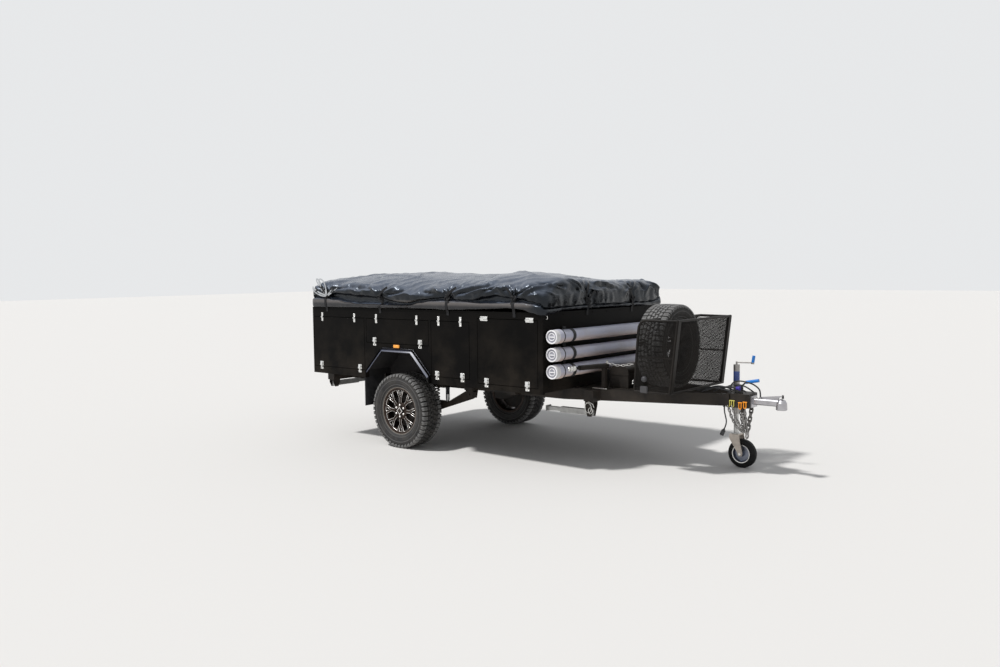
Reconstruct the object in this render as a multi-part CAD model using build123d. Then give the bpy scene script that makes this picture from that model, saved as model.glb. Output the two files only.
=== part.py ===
"""Off-road soft-top camper trailer, parked on its jockey wheel.

Every size is in millimetres. X runs forward to the coupling and is counted from the
axle line, Y runs to the left side and Z runs up from the floor. The finished pieces
are moved along X at the end, so that the origin is under the middle of the trailer.
"""
import os
from math import asin, cos, degrees, radians, sin, tan

from build123d import *

os.makedirs("parts", exist_ok=True)

# Body box
body_rear = -1258
body_front = 1807
body_width = 1974
body_bottom = 677
body_top = 1376
wall = 27
floor_z = 690
floor_thickness = 12
deck_thickness = 24
sheet = 10
bulkhead_y = 554
seat_gap = 0.3

# Road wheels
tyre_diameter = 737
tyre_width = 255
tread_width = 220
tyre_wall = 14
rim_seat_diameter = 436
rim_lip_diameter = 466
rim_width = 209
rim_wall = 7
hub_disc_diameter = 170
spoke_count = 8
spoke_width = 27
spoke_split = 10
spoke_face = 86
spoke_depth = 24
track = 1690
bead_clearance = 0.3

# Hubs and suspension
drum_diameter = 300
drum_depth = 62
stub_diameter = 44
running_clearance = 0.05
arm_pivot_x = 650
arm_pivot_z = 545
arm_width = 80
arm_y = 600
arm_seat_rise = 84
pivot_bolt_diameter = 20
bolt_clearance = 0.3
bracket_plate = 10
spring_x = 150
spring_diameter = 110
spring_turns = 5
damper_x = 330
damper_diameter = 44
axle_tube_diameter = 70

# Side doors: name, rear edge, front edge, bottom, top, hinge width, hinge leaf height,
# how far the hinges stand in from both edges, and the latches from the rear and the front
door_gap = 5
door_thickness = 24
side_doors = [
    ("rear", body_rear + 18, -450, 753, 1272, 26, 36, 142, 118, 70),
    ("arch", -415, 452, 1036, 1272, 26, 36, 150, 121, 108),
    ("fore", 492, 968, 753, 1272, 26, 36, 100, 73, 83),
    ("front", 1073, body_front - 57, 728, 1309, 84, 12, 80, 102, 110),
]
latch_width = 50
latch_height = 48
latch_plate = 3
latch_ear = 4
latch_depth = 16
latch_lever_width = 28
latch_foot = 3
claw_width = 16
claw_reach = 6
keeper_width = 42
keeper_height = 22
keeper_hook = 9
keeper_drop = 12
hinge_leaf = 4
hinge_barrel = 12
hinge_axis_out = 7.5
hinge_play = 0.3

# Tailgate, hinged along its lower edge
tailgate_half_width = 560
tailgate_bottom = 770
tailgate_top = 1320
tailgate_hinge_y = 380
tailgate_hinge_half = 45
tailgate_latch_y = 420

# Wheel arch: half length and centre of its level top, its lower corners, its lip
arch_centre = 26
arch_top_half = 214
arch_foot_half = 446
arch_top = 988
arch_foot = 755
arch_lip = 6
lip_proud = 25
tub_sheet = 5
tub_inner_y = 665
flap_x = -458
flap_thickness = 6
flap_bottom = 385
flap_inner_y = 712

# Chassis and drawbar rails
rail_height = 100
rail_width = 50
rail_y = 560
chassis_front = body_front - 82
chassis_rear = body_rear + 43
crossmembers = [chassis_rear + 25, -560, 100, 650, 1180, chassis_front - 25]
outriggers = [-560, 100, 280, 650, 1180]
outrigger_y = 652
rear_outrigger_y = 850
nose_rear = body_front + 1253
nose_front = nose_rear + 190
nose_half_width = 105
nose_drop = 12
nose_rise = 4
drawbar_slope = 0.344
drawbar_tie_x = body_front + 343
carrier_x = body_front + 485
carrier_size = 75

# Coupling
coupling_tip = nose_front + 291
coupling_z = 627
coupling_flange = 12
coupling_flange_size = 112
ball_bore = 25.4
ball_bore_depth = 30
cup_wall = 20
shank_width = 62
shank_height = 60

# Jockey wheel
jockey_x = nose_rear - 75
jockey_y = 250
jockey_trail = 60
jockey_outer = 54
jockey_bore = 43
jockey_inner = 42
jockey_outer_bottom = 470
jockey_outer_top = 900
jockey_inner_top = 700
jockey_wheel_diameter = 250
jockey_wheel_width = 72
jockey_rim_diameter = 160
jockey_axle = 16
fork_top = 286
fork_plate = 8
fork_inner_width = 96
crank_reach = 150
swivel_gap = 0.5

# Stabiliser legs: name, pivot x, its distance from the middle, its height, and the way that
# the left leg points when stowed, as an angle from X
leg_tube = 48
leg_length = 470
leg_play = 3
leg_root = 18
leg_extension = 150
leg_cheek = 6
leg_pin = 16
legs = [
    ("rear", chassis_rear + 65, 800, 548, -90),
    ("front", body_front + 193, 545, 490, 180),
]

# Spare wheel and mesh cage on the drawbar
spare_x = carrier_x + 168
spare_z = 1060
cage_rear = spare_x - 71
cage_front = spare_x + 290
cage_half_width = 500
cage_top = 1320
cage_lean = 77
cage_tube = 25
mesh_bar = 5
mesh_pitch = 62
mesh_thickness = 4

# Pole tubes across the front wall
pole_heights = [1172, 1019, 872]
pole_diameter = 110
pole_socket_diameter = 124
pole_socket_length = 118
pole_cap_diameter = 118
pole_cap_length = 58
pole_cap_bore = 98
pole_cap_recess = 9
pole_wall = 4
pole_end_in = 30
pole_out = 70
strap_y = 690
strap_width = 40
strap_band = 4

# Storm cover: overhang past the body, and its heights above the body's top
cover_overhang = 22
cover_roll_height = 62
cover_crease_in = 26
cover_crease_height = 88
cover_shoulder_height = 200
cover_rear_height = 312
cover_crown_height = 366
cover_front_height = 268
cover_crown_x = 500
cover_crown_behind = 700
cover_crown_ahead = 560
cover_shoulder_in = 150

# Items carried on the drawbar
locker_length = 190
locker_half_width = 330
locker_height = 200
locker_round = 60
post_x = body_front + 263
post_size = 36
post_height = 205
stay_length = 300
stay_diameter = 44
stay_end_length = 46
stay_end_diameter = 26

# Safety chains
chain_wire = 10
link_length = 60
link_width = 36
links = 6
chain_pitch = 36.2
chain_lug_x = nose_front - 50
chain_lug_y = 88
lug_hole = 22
lug_radius = 22
lug_thickness = 12
end_ring = 46

# Leads: the routes are points chosen by hand
lead_diameter = 11
plug_lead_route = [
    (3045, -108, 578),
    (3045, -108, 545),
    (3056, -111, 505),
    (3068, -112, 462),
    (3061, -110, 424),
    (3046, -109, 392),
]
brake_cable_diameter = 12
brake_cable_route = [
    (3082, -78, 712),
    (3082, -78, 742),
    (3101, -83, 778),
    (3140, -88, 799),
    (3186, -90, 804),
    (3240, -88, 796),
    (3288, -78, 782),
    (3322, -50, 748),
    (3322, -18, 712),
    (3322, -18, 671),
]

# Lamps
side_lamp = (100, 30, 12)
side_lamp_x = 11
side_lamp_z = 1010
tail_lamp = (22, 150, 80)
tail_lamp_y = 820
tail_lamp_z = 850

# Sizes that follow from those above
half_width = body_width / 2
inner_y = half_width - wall
wheel_y = track / 2
wheel_radius = tyre_diameter / 2
floor_top = floor_z + floor_thickness
deck_bottom = body_top - deck_thickness
rail_bottom = floor_z - rail_height
pole_x = body_front + pole_out
pole_half_length = half_width - pole_end_in
origin_shift = -(coupling_tip + body_rear - cover_overhang) / 2


def block(x_low, x_high, y_low, y_high, z_low, z_high):
    """A box between two values along each axis."""
    size = Box(x_high - x_low, y_high - y_low, z_high - z_low)
    return Pos((x_low + x_high) / 2, (y_low + y_high) / 2, (z_low + z_high) / 2) * size


def face_of(points):
    """A flat face inside a closed line of points."""
    return make_face(Polyline(*points, close=True))


def side_prism(face, y_low, y_high):
    """A face drawn in X and Z, made solid between two values of Y."""
    return extrude(Plane.XZ.offset(-y_high) * face, y_high - y_low)


def front_prism(face, x_low, x_high):
    """A face drawn in Y and Z, made solid between two values of X."""
    return extrude(Plane.YZ.offset(x_low) * face, x_high - x_low)


def plan_prism(face, z_low, z_high):
    """A face drawn in X and Y, made solid between two heights."""
    return extrude(Plane.XY.offset(z_low) * face, z_high - z_low)


def rod(start, end, diameter):
    """A round bar from one point to another."""
    along = Vector(*end) - Vector(*start)
    foot = Plane(origin=start, z_dir=along)
    return extrude(foot * Circle(diameter / 2), along.length)


def mirrored(shape):
    """The same piece on the other side of the trailer."""
    return mirror(shape, about=Plane.XZ)


def both_sides(shape):
    return shape + mirrored(shape)


def turned(points):
    """A profile of radius and place along Y, turned about the Y axis."""
    return revolve(face_of(points), Axis.Y, 360)


def arch_face(grow, floor_at):
    """The wheel arch seen from the side, its lip's outline grown by a margin."""
    slope = (arch_foot_half - arch_top_half) / (arch_top - arch_foot)
    slant = grow * ((1 + slope ** 2) ** 0.5 - slope)
    upright = grow * ((1 + slope ** 2) ** 0.5 - 1) / slope
    right_half = [
        (arch_foot_half + grow, floor_at),
        (arch_foot_half + grow, arch_foot + upright),
        (arch_top_half + slant, arch_top + grow),
    ]
    left_half = [(-x, z) for x, z in reversed(right_half)]
    return Pos(arch_centre, 0) * face_of(right_half + left_half)


# Road wheels, with their outer faces towards +Y
def tyre():
    half = tyre_width / 2
    shoulder = tread_width / 2
    bead = rim_seat_diameter / 2 + bead_clearance
    bead_y = rim_width / 2 - 6 - bead_clearance
    outside = [
        (bead, bead_y),
        (bead + 22, bead_y),
        (bead + 72, half),
        (wheel_radius - 46, half - 3),
        (wheel_radius - 14, shoulder + 8),
        (wheel_radius - 3, shoulder),
        (wheel_radius, shoulder * 0.6),
    ]
    inside = [(wheel_radius - 2 * tyre_wall, -shoulder + 4), (bead, -bead_y + tyre_wall)]
    far_side = [(r, -y) for r, y in reversed(outside)]
    near_inside = [(r, -y) for r, y in reversed(inside)]
    return turned(outside + far_side + list(reversed(inside)) + list(reversed(near_inside)))


def rim():
    lip = rim_lip_diameter / 2
    seat = rim_seat_diameter / 2
    half = rim_width / 2
    well = seat - 15
    outer_half = [(lip, half), (lip, half - 6), (seat, half - 6), (well, half - 32)]
    far_half = [(r, -y) for r, y in reversed(outer_half)]
    bore_half = [(lip - 12, -half), (seat - rim_wall, -half + 4), (well - rim_wall, -half + 28)]
    near_bore = [(r, -y) for r, y in reversed(bore_half)]
    barrel = turned(outer_half + far_half + bore_half + near_bore)
    hub_disc = Pos(0, spoke_face - spoke_depth / 2, 0) * Rot(90, 0, 0) * Cylinder(
        hub_disc_diameter / 2, spoke_depth)
    cap = Pos(0, spoke_face + 8, 0) * Rot(90, 0, 0) * Cylinder(36, 18)
    star = hub_disc + cap
    reach = well - rim_wall / 2
    arm = face_of([
        (hub_disc_diameter / 2 - 12, -spoke_width * 0.55),
        (reach * 0.62, -spoke_width * 0.5),
        (reach * cos(radians(spoke_split)) + 14, -reach * sin(radians(spoke_split)) - 14),
        (reach * cos(radians(spoke_split)) + 18, -reach * sin(radians(spoke_split)) + 6),
        (reach * 0.72, 0),
        (reach * cos(radians(spoke_split)) + 18, reach * sin(radians(spoke_split)) - 6),
        (reach * cos(radians(spoke_split)) + 14, reach * sin(radians(spoke_split)) + 14),
        (reach * 0.62, spoke_width * 0.5),
        (hub_disc_diameter / 2 - 12, spoke_width * 0.55),
    ])
    spoke = side_prism(arm, spoke_face - spoke_depth + 4, spoke_face + 4)
    for turn in range(spoke_count):
        star += Rot(0, 360 / spoke_count * turn, 0) * spoke
    inside_wall = turned([
        (0, -half),
        (well - 2, -half),
        (well - 2, half - 31),
        (seat - 3, half - 8),
        (0, half),
    ])
    return (star & inside_wall) + barrel


def hub():
    """Brake drum and hub, bored for the stub axle."""
    back = spoke_face - spoke_depth
    front = back - seat_gap
    bore = stub_diameter / 2 + running_clearance
    return turned([
        (bore, front),
        (drum_diameter / 2 - 60, front),
        (drum_diameter / 2 - 60, front - 14),
        (drum_diameter / 2, front - 20),
        (drum_diameter / 2, front - drum_depth),
        (drum_diameter / 2 - 12, front - drum_depth),
        (drum_diameter / 2 - 12, front - 34),
        (44, front - 34),
        (44, front - drum_depth),
        (bore, front - drum_depth),
    ])


def on_axle(piece, side):
    """Place a wheel piece on the axle, side is 1 for left and -1 for right."""
    return Pos(0, side * wheel_y, wheel_radius) * Rot(0, 0, 0 if side > 0 else 180) * piece


def at_spare(piece):
    return Pos(spare_x, 0, spare_z) * Rot(0, 0, -90) * piece


# Suspension, drawn for the left side
def trailing_arm():
    low = arm_y - arm_width / 2
    high = arm_y + arm_width / 2
    seat_z = wheel_radius + arm_seat_rise
    beam = face_of([
        (arm_pivot_x + 34, arm_pivot_z + 26),
        (arm_pivot_x + 34, arm_pivot_z - 26),
        (arm_pivot_x - 10, arm_pivot_z - 48),
        (60, wheel_radius - 62),
        (-48, wheel_radius - 52),
        (-60, wheel_radius + 40),
        (spring_x - spring_diameter / 2 - 6, seat_z),
        (damper_x + damper_diameter / 2 + 6, seat_z),
        (arm_pivot_x - 30, arm_pivot_z + 44),
    ])
    gap = seat_gap
    arm = side_prism(beam, low + bracket_plate + gap, high - bracket_plate - gap)
    bolt = rod((arm_pivot_x, low - 8, arm_pivot_z), (arm_pivot_x, high + 8, arm_pivot_z),
               pivot_bolt_diameter)
    drum_back = wheel_y + spoke_face - spoke_depth - seat_gap - drum_depth
    axle_tube = rod((0, high - 20, wheel_radius), (0, drum_back - 5, wheel_radius),
                    axle_tube_diameter)
    plate = rod((0, drum_back - 9, wheel_radius), (0, drum_back - 3, wheel_radius),
                drum_diameter - 8)
    stub = rod((0, drum_back - 6, wheel_radius), (0, drum_back + drum_depth - 6, wheel_radius),
               stub_diameter)
    return arm + bolt + axle_tube + plate + stub


def spring_units():
    """A coil spring, drawn as its outline of turns, and a damper ahead of it."""
    foot = wheel_radius + arm_seat_rise + seat_gap
    outer = spring_diameter / 2
    pitch = (rail_bottom - seat_gap - foot) / spring_turns
    outline = [(outer - 22, 0)]
    for turn in range(spring_turns):
        outline += [(outer, pitch * (turn + 0.5)), (outer - 10, pitch * (turn + 1))]
    outline += [(outer - 22, pitch * spring_turns)]
    coil = Pos(spring_x, arm_y, foot) * Rot(90, 0, 0) * turned(outline)
    damper = rod((damper_x, arm_y, foot), (damper_x, arm_y, rail_bottom - seat_gap),
                 damper_diameter)
    return coil + damper


# Chassis under the body
def chassis():
    frame = Part()
    rail = block(chassis_rear, chassis_front, rail_y - rail_width / 2, rail_y + rail_width / 2,
                 rail_bottom, floor_z)
    frame += both_sides(rail)
    for x in crossmembers:
        frame += block(x - 25, x + 25, -rail_y, rail_y, rail_bottom + 20, floor_z)
    for x in outriggers:
        frame += both_sides(block(x - 50, x + 50, rail_y, outrigger_y, rail_bottom, floor_z))
    rear_leg_x = legs[0][1]
    frame += both_sides(block(rear_leg_x - 50, rear_leg_x + 50, rail_y, rear_outrigger_y,
                              rail_bottom, floor_z))
    for y in (arm_y - arm_width / 2, arm_y + arm_width / 2 - bracket_plate):
        cheek = face_of([
            (arm_pivot_x - 48, rail_bottom + 5),
            (arm_pivot_x - 30, arm_pivot_z - 34),
            (arm_pivot_x + 30, arm_pivot_z - 34),
            (arm_pivot_x + 48, rail_bottom + 5),
        ])
        plate = side_prism(cheek, y, y + bracket_plate)
        plate -= rod((arm_pivot_x, y - 1, arm_pivot_z), (arm_pivot_x, y + bracket_plate + 1, arm_pivot_z),
                     pivot_bolt_diameter + 2 * bolt_clearance)
        frame += both_sides(plate)
    return frame


def rail_centre(x):
    """Distance of the drawbar rail's centreline from the middle at a place along X."""
    return rail_y - drawbar_slope * (x - chassis_front)


def drawbar():
    across = rail_width / 2 * (1 + drawbar_slope ** 2) ** 0.5
    start = chassis_front
    end = nose_rear + 30
    rail = face_of([
        (start, rail_centre(start) - across),
        (start, rail_centre(start) + across),
        (end, rail_centre(end) + across),
        (end, rail_centre(end) - across),
    ])
    bar = both_sides(plan_prism(rail, rail_bottom, floor_z))
    for x in (drawbar_tie_x, carrier_x):
        bar += block(x - 25, x + 25, -rail_centre(x), rail_centre(x), rail_bottom + 10, floor_z)
    nose = block(nose_rear, nose_front, -nose_half_width, nose_half_width,
                 rail_bottom - nose_drop, floor_z + nose_rise)
    nose = chamfer(nose.edges().filter_by(Axis.Z).group_by(Axis.X)[-1], 24)
    bar += nose
    front_leg_x = legs[1][1]
    front_leg_y = legs[1][2]
    bar += both_sides(block(front_leg_x - 50, front_leg_x + 50, rail_centre(front_leg_x),
                            front_leg_y + 45, rail_bottom, floor_z))
    bar += block(carrier_x - carrier_size / 2, carrier_x + carrier_size / 2, -carrier_size / 2,
                 carrier_size / 2, floor_z - 1, spare_z + 70)
    spigot_end = spare_x + spoke_face - spoke_depth - seat_gap
    bar += rod((carrier_x, 0, spare_z), (spigot_end, 0, spare_z), 70)
    lug_z = rail_bottom - nose_drop - lug_radius + 4
    for side in (-1, 1):
        lug = rod((chain_lug_x - lug_thickness / 2, side * chain_lug_y, lug_z),
                  (chain_lug_x + lug_thickness / 2, side * chain_lug_y, lug_z), 2 * lug_radius)
        lug -= rod((chain_lug_x - lug_thickness, side * chain_lug_y, lug_z),
                   (chain_lug_x + lug_thickness, side * chain_lug_y, lug_z), lug_hole)
        bar += lug
    return bar


# Body panels
def window(door):
    """The hole that a side door closes, through the left wall."""
    name, rear, front, bottom, top = door[:5]
    return block(rear - door_gap, front + door_gap, inner_y - 1, half_width + 1,
                 bottom - door_gap, top + door_gap)


def hinge_places(door):
    rear, front = door[1:3]
    hinge_in = door[7]
    return [rear + hinge_in, front - hinge_in]


def latch_places(door):
    """The latches of a side door, along its lower edge."""
    name, rear, front, bottom, top, width, leaf, hinge_in, rear_in, front_in = door
    return [Pos(x, half_width, bottom) for x in (rear + rear_in, front - front_in)]


def hinge_half(door, x, up):
    """One leaf with its half of the barrel, up is 1 on the body and -1 on the door."""
    width = door[5]
    leaf = door[6]
    axis_z = door[4] + door_gap / 2
    near = axis_z + up * (hinge_barrel / 2 + 2)
    far = near + up * leaf
    plate = block(x - width / 2, x + width / 2, half_width, half_width + hinge_leaf,
                  min(near, far), max(near, far))
    inner = x + up * hinge_play / 2
    outer = x + up * width / 2
    neck = block(min(inner, outer), max(inner, outer), half_width + hinge_leaf / 2,
                 half_width + hinge_axis_out, min(axis_z, near + up * 4), max(axis_z, near + up * 4))
    barrel = rod((inner, half_width + hinge_axis_out, axis_z),
                 (outer, half_width + hinge_axis_out, axis_z), hinge_barrel)
    return plate + neck + barrel


def side_wall():
    """Left side wall with its door windows, wheel arch, arch lip and hinge leaves."""
    panel = block(body_rear, body_front, inner_y, half_width, body_bottom, body_top)
    for door in side_doors:
        panel -= window(door)
    panel -= side_prism(arch_face(-arch_lip, body_bottom - 1), inner_y - 1, half_width + 1)
    lip = side_prism(arch_face(0, body_bottom), inner_y, half_width + lip_proud)
    lip -= side_prism(arch_face(-arch_lip, body_bottom - 1), inner_y - 1, half_width + lip_proud + 1)
    panel += lip
    for door in side_doors:
        for x in hinge_places(door):
            panel += hinge_half(door, x, 1)
        for place in latch_places(door):
            panel += place * keeper()
    return panel


def latch():
    """A toggle latch that faces +Y, on a panel whose lower edge is at the origin."""
    half = latch_width / 2
    low = latch_foot
    high = low + latch_height
    plate = block(-half, half, -1, latch_plate, low, high)
    plate = chamfer(plate.edges().filter_by(Axis.Y), 4)
    ear = face_of([(0, low + 2), (latch_depth - 5, low + 4), (latch_depth - 2, low + 12),
                   (latch_depth - 8, low + 26), (0, low + 28)])
    inner = latch_lever_width / 2 + 1
    for side in (-1, 1):
        start = side * inner if side > 0 else -inner - latch_ear
        plate += front_prism(ear, start, start + latch_ear)
    lever = face_of([
        (0, low + 8),
        (latch_depth - 6, low + 5),
        (latch_depth, low + 12),
        (latch_depth - 3, low + 30),
        (latch_depth - 8, high - 2),
        (latch_plate + 2, high - 2),
        (latch_plate + 1, low + 30),
        (0, low + 26),
    ])
    claw = block(-claw_width / 2, claw_width / 2, latch_plate + 2, latch_plate + 5,
                 -claw_reach, low + 12)
    middle = front_prism(lever, -latch_lever_width / 2, latch_lever_width / 2)
    pin = rod((-inner - latch_ear - 1, latch_depth - 7, low + 9),
              (inner + latch_ear + 1, latch_depth - 7, low + 9), 5)
    return plate + middle + claw + pin


def keeper():
    """The hooked plate that a latch draws on, below the edge at the origin."""
    half = keeper_width / 2
    top = -keeper_drop + 3
    plate = block(-half, half, -1, latch_plate, top - keeper_height, top)
    hook = face_of([
        (0, top - keeper_height + 4),
        (latch_plate + 8, top - 8),
        (latch_plate + 8, -keeper_drop + 2),
        (latch_plate + 5, -keeper_drop + 2),
        (latch_plate + 4, top - keeper_hook),
        (0, top - keeper_hook),
    ])
    return plate + front_prism(hook, -claw_width / 2 - 2, claw_width / 2 + 2)


def side_door(door):
    name, rear, front, bottom, top = door[:5]
    panel = block(rear, front, half_width - door_thickness, half_width, bottom, top)
    for x in hinge_places(door):
        panel += hinge_half(door, x, -1)
    for place in latch_places(door):
        panel += place * latch()
    return panel


def body_floor():
    plate = block(body_rear + wall, body_front - wall, -inner_y, inner_y, floor_z, floor_top)
    notch = side_prism(arch_face(tub_sheet - arch_lip, floor_z - 1), tub_inner_y - tub_sheet,
                       inner_y + 1)
    return plate - both_sides(notch)


def wheel_tub():
    """Folded liner over the left wheel."""
    outline = arch_face(tub_sheet - arch_lip, floor_z)
    hollow = arch_face(-arch_lip, floor_z - 1)
    shell = side_prism(outline, tub_inner_y - tub_sheet, inner_y)
    return shell - side_prism(hollow, tub_inner_y, inner_y + 1)


def front_wall():
    return block(body_front - wall, body_front, -inner_y, inner_y, floor_z, body_top)


def rear_frame():
    panel = block(body_rear, body_rear + wall, -inner_y, inner_y, body_bottom, body_top)
    panel -= block(body_rear - 1, body_rear + wall + 1, -tailgate_half_width - door_gap,
                   tailgate_half_width + door_gap, tailgate_bottom - door_gap,
                   tailgate_top + door_gap)
    axis_x = body_rear - hinge_axis_out
    axis_z = tailgate_bottom - door_gap / 2
    for y in (-tailgate_hinge_y, tailgate_hinge_y):
        near = y - hinge_play / 2
        far = y - tailgate_hinge_half
        panel += block(body_rear - hinge_leaf, body_rear, far, y + tailgate_hinge_half, axis_z - 50,
                       axis_z - 8)
        panel += block(axis_x, body_rear - hinge_leaf / 2, far, near, axis_z - 12, axis_z)
        panel += rod((axis_x, far, axis_z), (axis_x, near, axis_z), hinge_barrel)
    for y in (-tailgate_latch_y, tailgate_latch_y):
        panel += on_tailgate_top(y) * keeper()
    return panel


def on_tailgate_top(y):
    """A place on the tailgate's upper edge, for a fitting drawn for a lower edge."""
    return Pos(body_rear, y, tailgate_top) * Rot(0, 0, 90) * Rot(0, 180, 0)


def tailgate():
    panel = block(body_rear, body_rear + door_thickness, -tailgate_half_width,
                  tailgate_half_width, tailgate_bottom, tailgate_top)
    axis_x = body_rear - hinge_axis_out
    axis_z = tailgate_bottom - door_gap / 2
    for y in (-tailgate_hinge_y, tailgate_hinge_y):
        near = y + hinge_play / 2
        far = y + tailgate_hinge_half
        panel += block(body_rear - hinge_leaf, body_rear, y - tailgate_hinge_half, far, axis_z + 8,
                       axis_z + 50)
        panel += block(axis_x, body_rear - hinge_leaf / 2, near, far, axis_z, axis_z + 12)
        panel += rod((axis_x, near, axis_z), (axis_x, far, axis_z), hinge_barrel)
    for y in (-tailgate_latch_y, tailgate_latch_y):
        panel += on_tailgate_top(y) * latch()
    return panel


def deck():
    return block(body_rear + wall, body_front - wall, -inner_y, inner_y, deck_bottom, body_top)


def bulkheads():
    """Inner walls between the middle of the body and the side lockers."""
    walls = Part()
    inside = block(body_rear + wall, body_front - wall, bulkhead_y - sheet / 2,
                   bulkhead_y + sheet / 2, floor_top, deck_bottom)
    walls += inside
    for x in partition_places():
        walls += block(x - sheet / 2, x + sheet / 2, bulkhead_y, inner_y, floor_top, deck_bottom)
    return both_sides(walls)


def partition_places():
    """Centres of the cross walls, one behind each post between two side doors."""
    places = []
    for behind, ahead in zip(side_doors, side_doors[1:]):
        places.append((behind[2] + ahead[1]) / 2)
    places[1] = arch_centre + arch_foot_half + tub_sheet - arch_lip + seat_gap + sheet / 2
    return places


def mud_flaps():
    flap = block(flap_x - flap_thickness, flap_x, flap_inner_y, half_width - 8, flap_bottom,
                 floor_z - seat_gap)
    flap -= block(flap_x - 20, flap_x + 20, inner_y - seat_gap, half_width, body_bottom - seat_gap,
                  floor_z + 1)
    return both_sides(flap)


def lamps():
    """Amber side markers above the arches and lamp units at the tail."""
    length, height, depth = side_lamp
    marker = block(side_lamp_x - length / 2, side_lamp_x + length / 2, half_width,
                   half_width + depth, side_lamp_z - height / 2, side_lamp_z + height / 2)
    depth, across, tall = tail_lamp
    unit = block(body_rear - depth, body_rear, tail_lamp_y - across / 2, tail_lamp_y + across / 2,
                 tail_lamp_z - tall / 2, tail_lamp_z + tall / 2)
    unit = chamfer(unit.faces().sort_by(Axis.X)[0].edges(), 5)
    return both_sides(marker) + both_sides(unit)


# Storm cover over the folded tent
def cover_outline(reach, crown_in):
    """Half section of the cover at one end or side: reach is the body's edge there."""
    return [
        (reach + cover_overhang - 8, body_top),
        (reach + cover_overhang, body_top + 14),
        (reach + cover_overhang, body_top + cover_roll_height - 16),
        (reach + cover_overhang - 12, body_top + cover_roll_height),
        (reach + cover_overhang - cover_crease_in, body_top + cover_crease_height),
        (reach + cover_overhang - 4, body_top + cover_crease_height + 34),
        (reach + cover_overhang - 12, body_top + cover_shoulder_height),
        (reach - crown_in * 0.3, body_top + cover_shoulder_height + 56),
    ]


def storm_cover():
    side_half = cover_outline(half_width, cover_shoulder_in)
    side_half += [
        (half_width - cover_shoulder_in * 1.6, body_top + cover_crown_height - 66),
        (half_width - cover_shoulder_in * 3.4, body_top + cover_crown_height - 16),
    ]
    other_half = [(-y, z) for y, z in reversed(side_half)]
    across = front_prism(face_of(side_half + [(0, body_top + cover_crown_height)] + other_half),
                         body_rear - 200, body_front + 200)
    front_half = cover_outline(body_front, cover_shoulder_in)
    front_half += [(body_front - cover_shoulder_in, body_top + cover_front_height)]
    rear_half = [(-x, z) for x, z in reversed(cover_outline(-body_rear, cover_shoulder_in))]
    crown = [
        (cover_crown_x + cover_crown_ahead, body_top + cover_crown_height - 20),
        (cover_crown_x, body_top + cover_crown_height),
        (cover_crown_x - cover_crown_behind, body_top + cover_crown_height - 8),
        (body_rear + cover_shoulder_in * 2, body_top + cover_rear_height),
    ]
    along = side_prism(face_of(front_half + crown + rear_half), -half_width - 200, half_width + 200)
    return across & along


# Drawbar fittings
def pole_tubes():
    tubes = Part()
    outer = pole_diameter / 2
    socket = pole_socket_diameter / 2
    cap = pole_cap_diameter / 2
    end = pole_half_length
    near_socket = end - pole_socket_length
    profile = [
        (0, end - pole_cap_recess),
        (pole_cap_bore / 2, end - pole_cap_recess),
        (pole_cap_bore / 2 + 1, end),
        (cap - 3, end),
        (cap, end - 3),
        (cap, end - pole_cap_length),
        (socket, end - pole_cap_length),
        (socket, near_socket),
        (outer, near_socket),
        (outer, 0),
        (outer - pole_wall, 0),
        (outer - pole_wall, near_socket + 6),
        (0, near_socket + 6),
    ]
    half_tube = turned(profile)
    for z in pole_heights:
        tubes += Pos(pole_x, 0, z) * both_sides(half_tube)
    return tubes


def tube_straps():
    """Packing strips on the front wall with a band round each pole tube."""
    straps = Part()
    back = body_front
    face = pole_x - pole_diameter / 2 - seat_gap
    strip = block(back, face, strap_y - strap_width / 2, strap_y + strap_width / 2,
                  min(pole_heights) - 75, max(pole_heights) + 75)
    for z in pole_heights:
        ring = rod((pole_x, strap_y - strap_width / 2, z), (pole_x, strap_y + strap_width / 2, z),
                   pole_diameter + 2 * seat_gap + 2 * strap_band)
        foot = block(back, pole_x, strap_y - strap_width / 2, strap_y + strap_width / 2,
                     z - 40, z + 40)
        hollow = rod((pole_x, strap_y - strap_width, z), (pole_x, strap_y + strap_width, z),
                     pole_diameter + 2 * seat_gap)
        strip = strip + ring + foot - hollow
    straps += both_sides(strip)
    return straps


def leaning_panel():
    """Front panel of the cage, drawn upright and leant forward afterwards."""
    height = cage_top - floor_z
    width = 2 * cage_half_width
    frame = Box(cage_tube, width, height) - Box(cage_tube + 2, width - 2 * cage_tube,
                                               height - 2 * cage_tube)
    frame += Box(cage_tube, cage_tube, height)
    columns = int((width - 2 * cage_tube) / mesh_pitch)
    rows = int((height - 2 * cage_tube) / mesh_pitch)
    plate = Box(mesh_thickness, width - cage_tube, height - cage_tube)
    cutter = Sketch() + [place * Rectangle(mesh_pitch - mesh_bar, mesh_pitch - mesh_bar)
                         for place in GridLocations(mesh_pitch, mesh_pitch, columns, rows)]
    plate -= extrude(Plane.YZ.offset(-mesh_thickness) * cutter, 2 * mesh_thickness)
    return frame + plate


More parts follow.
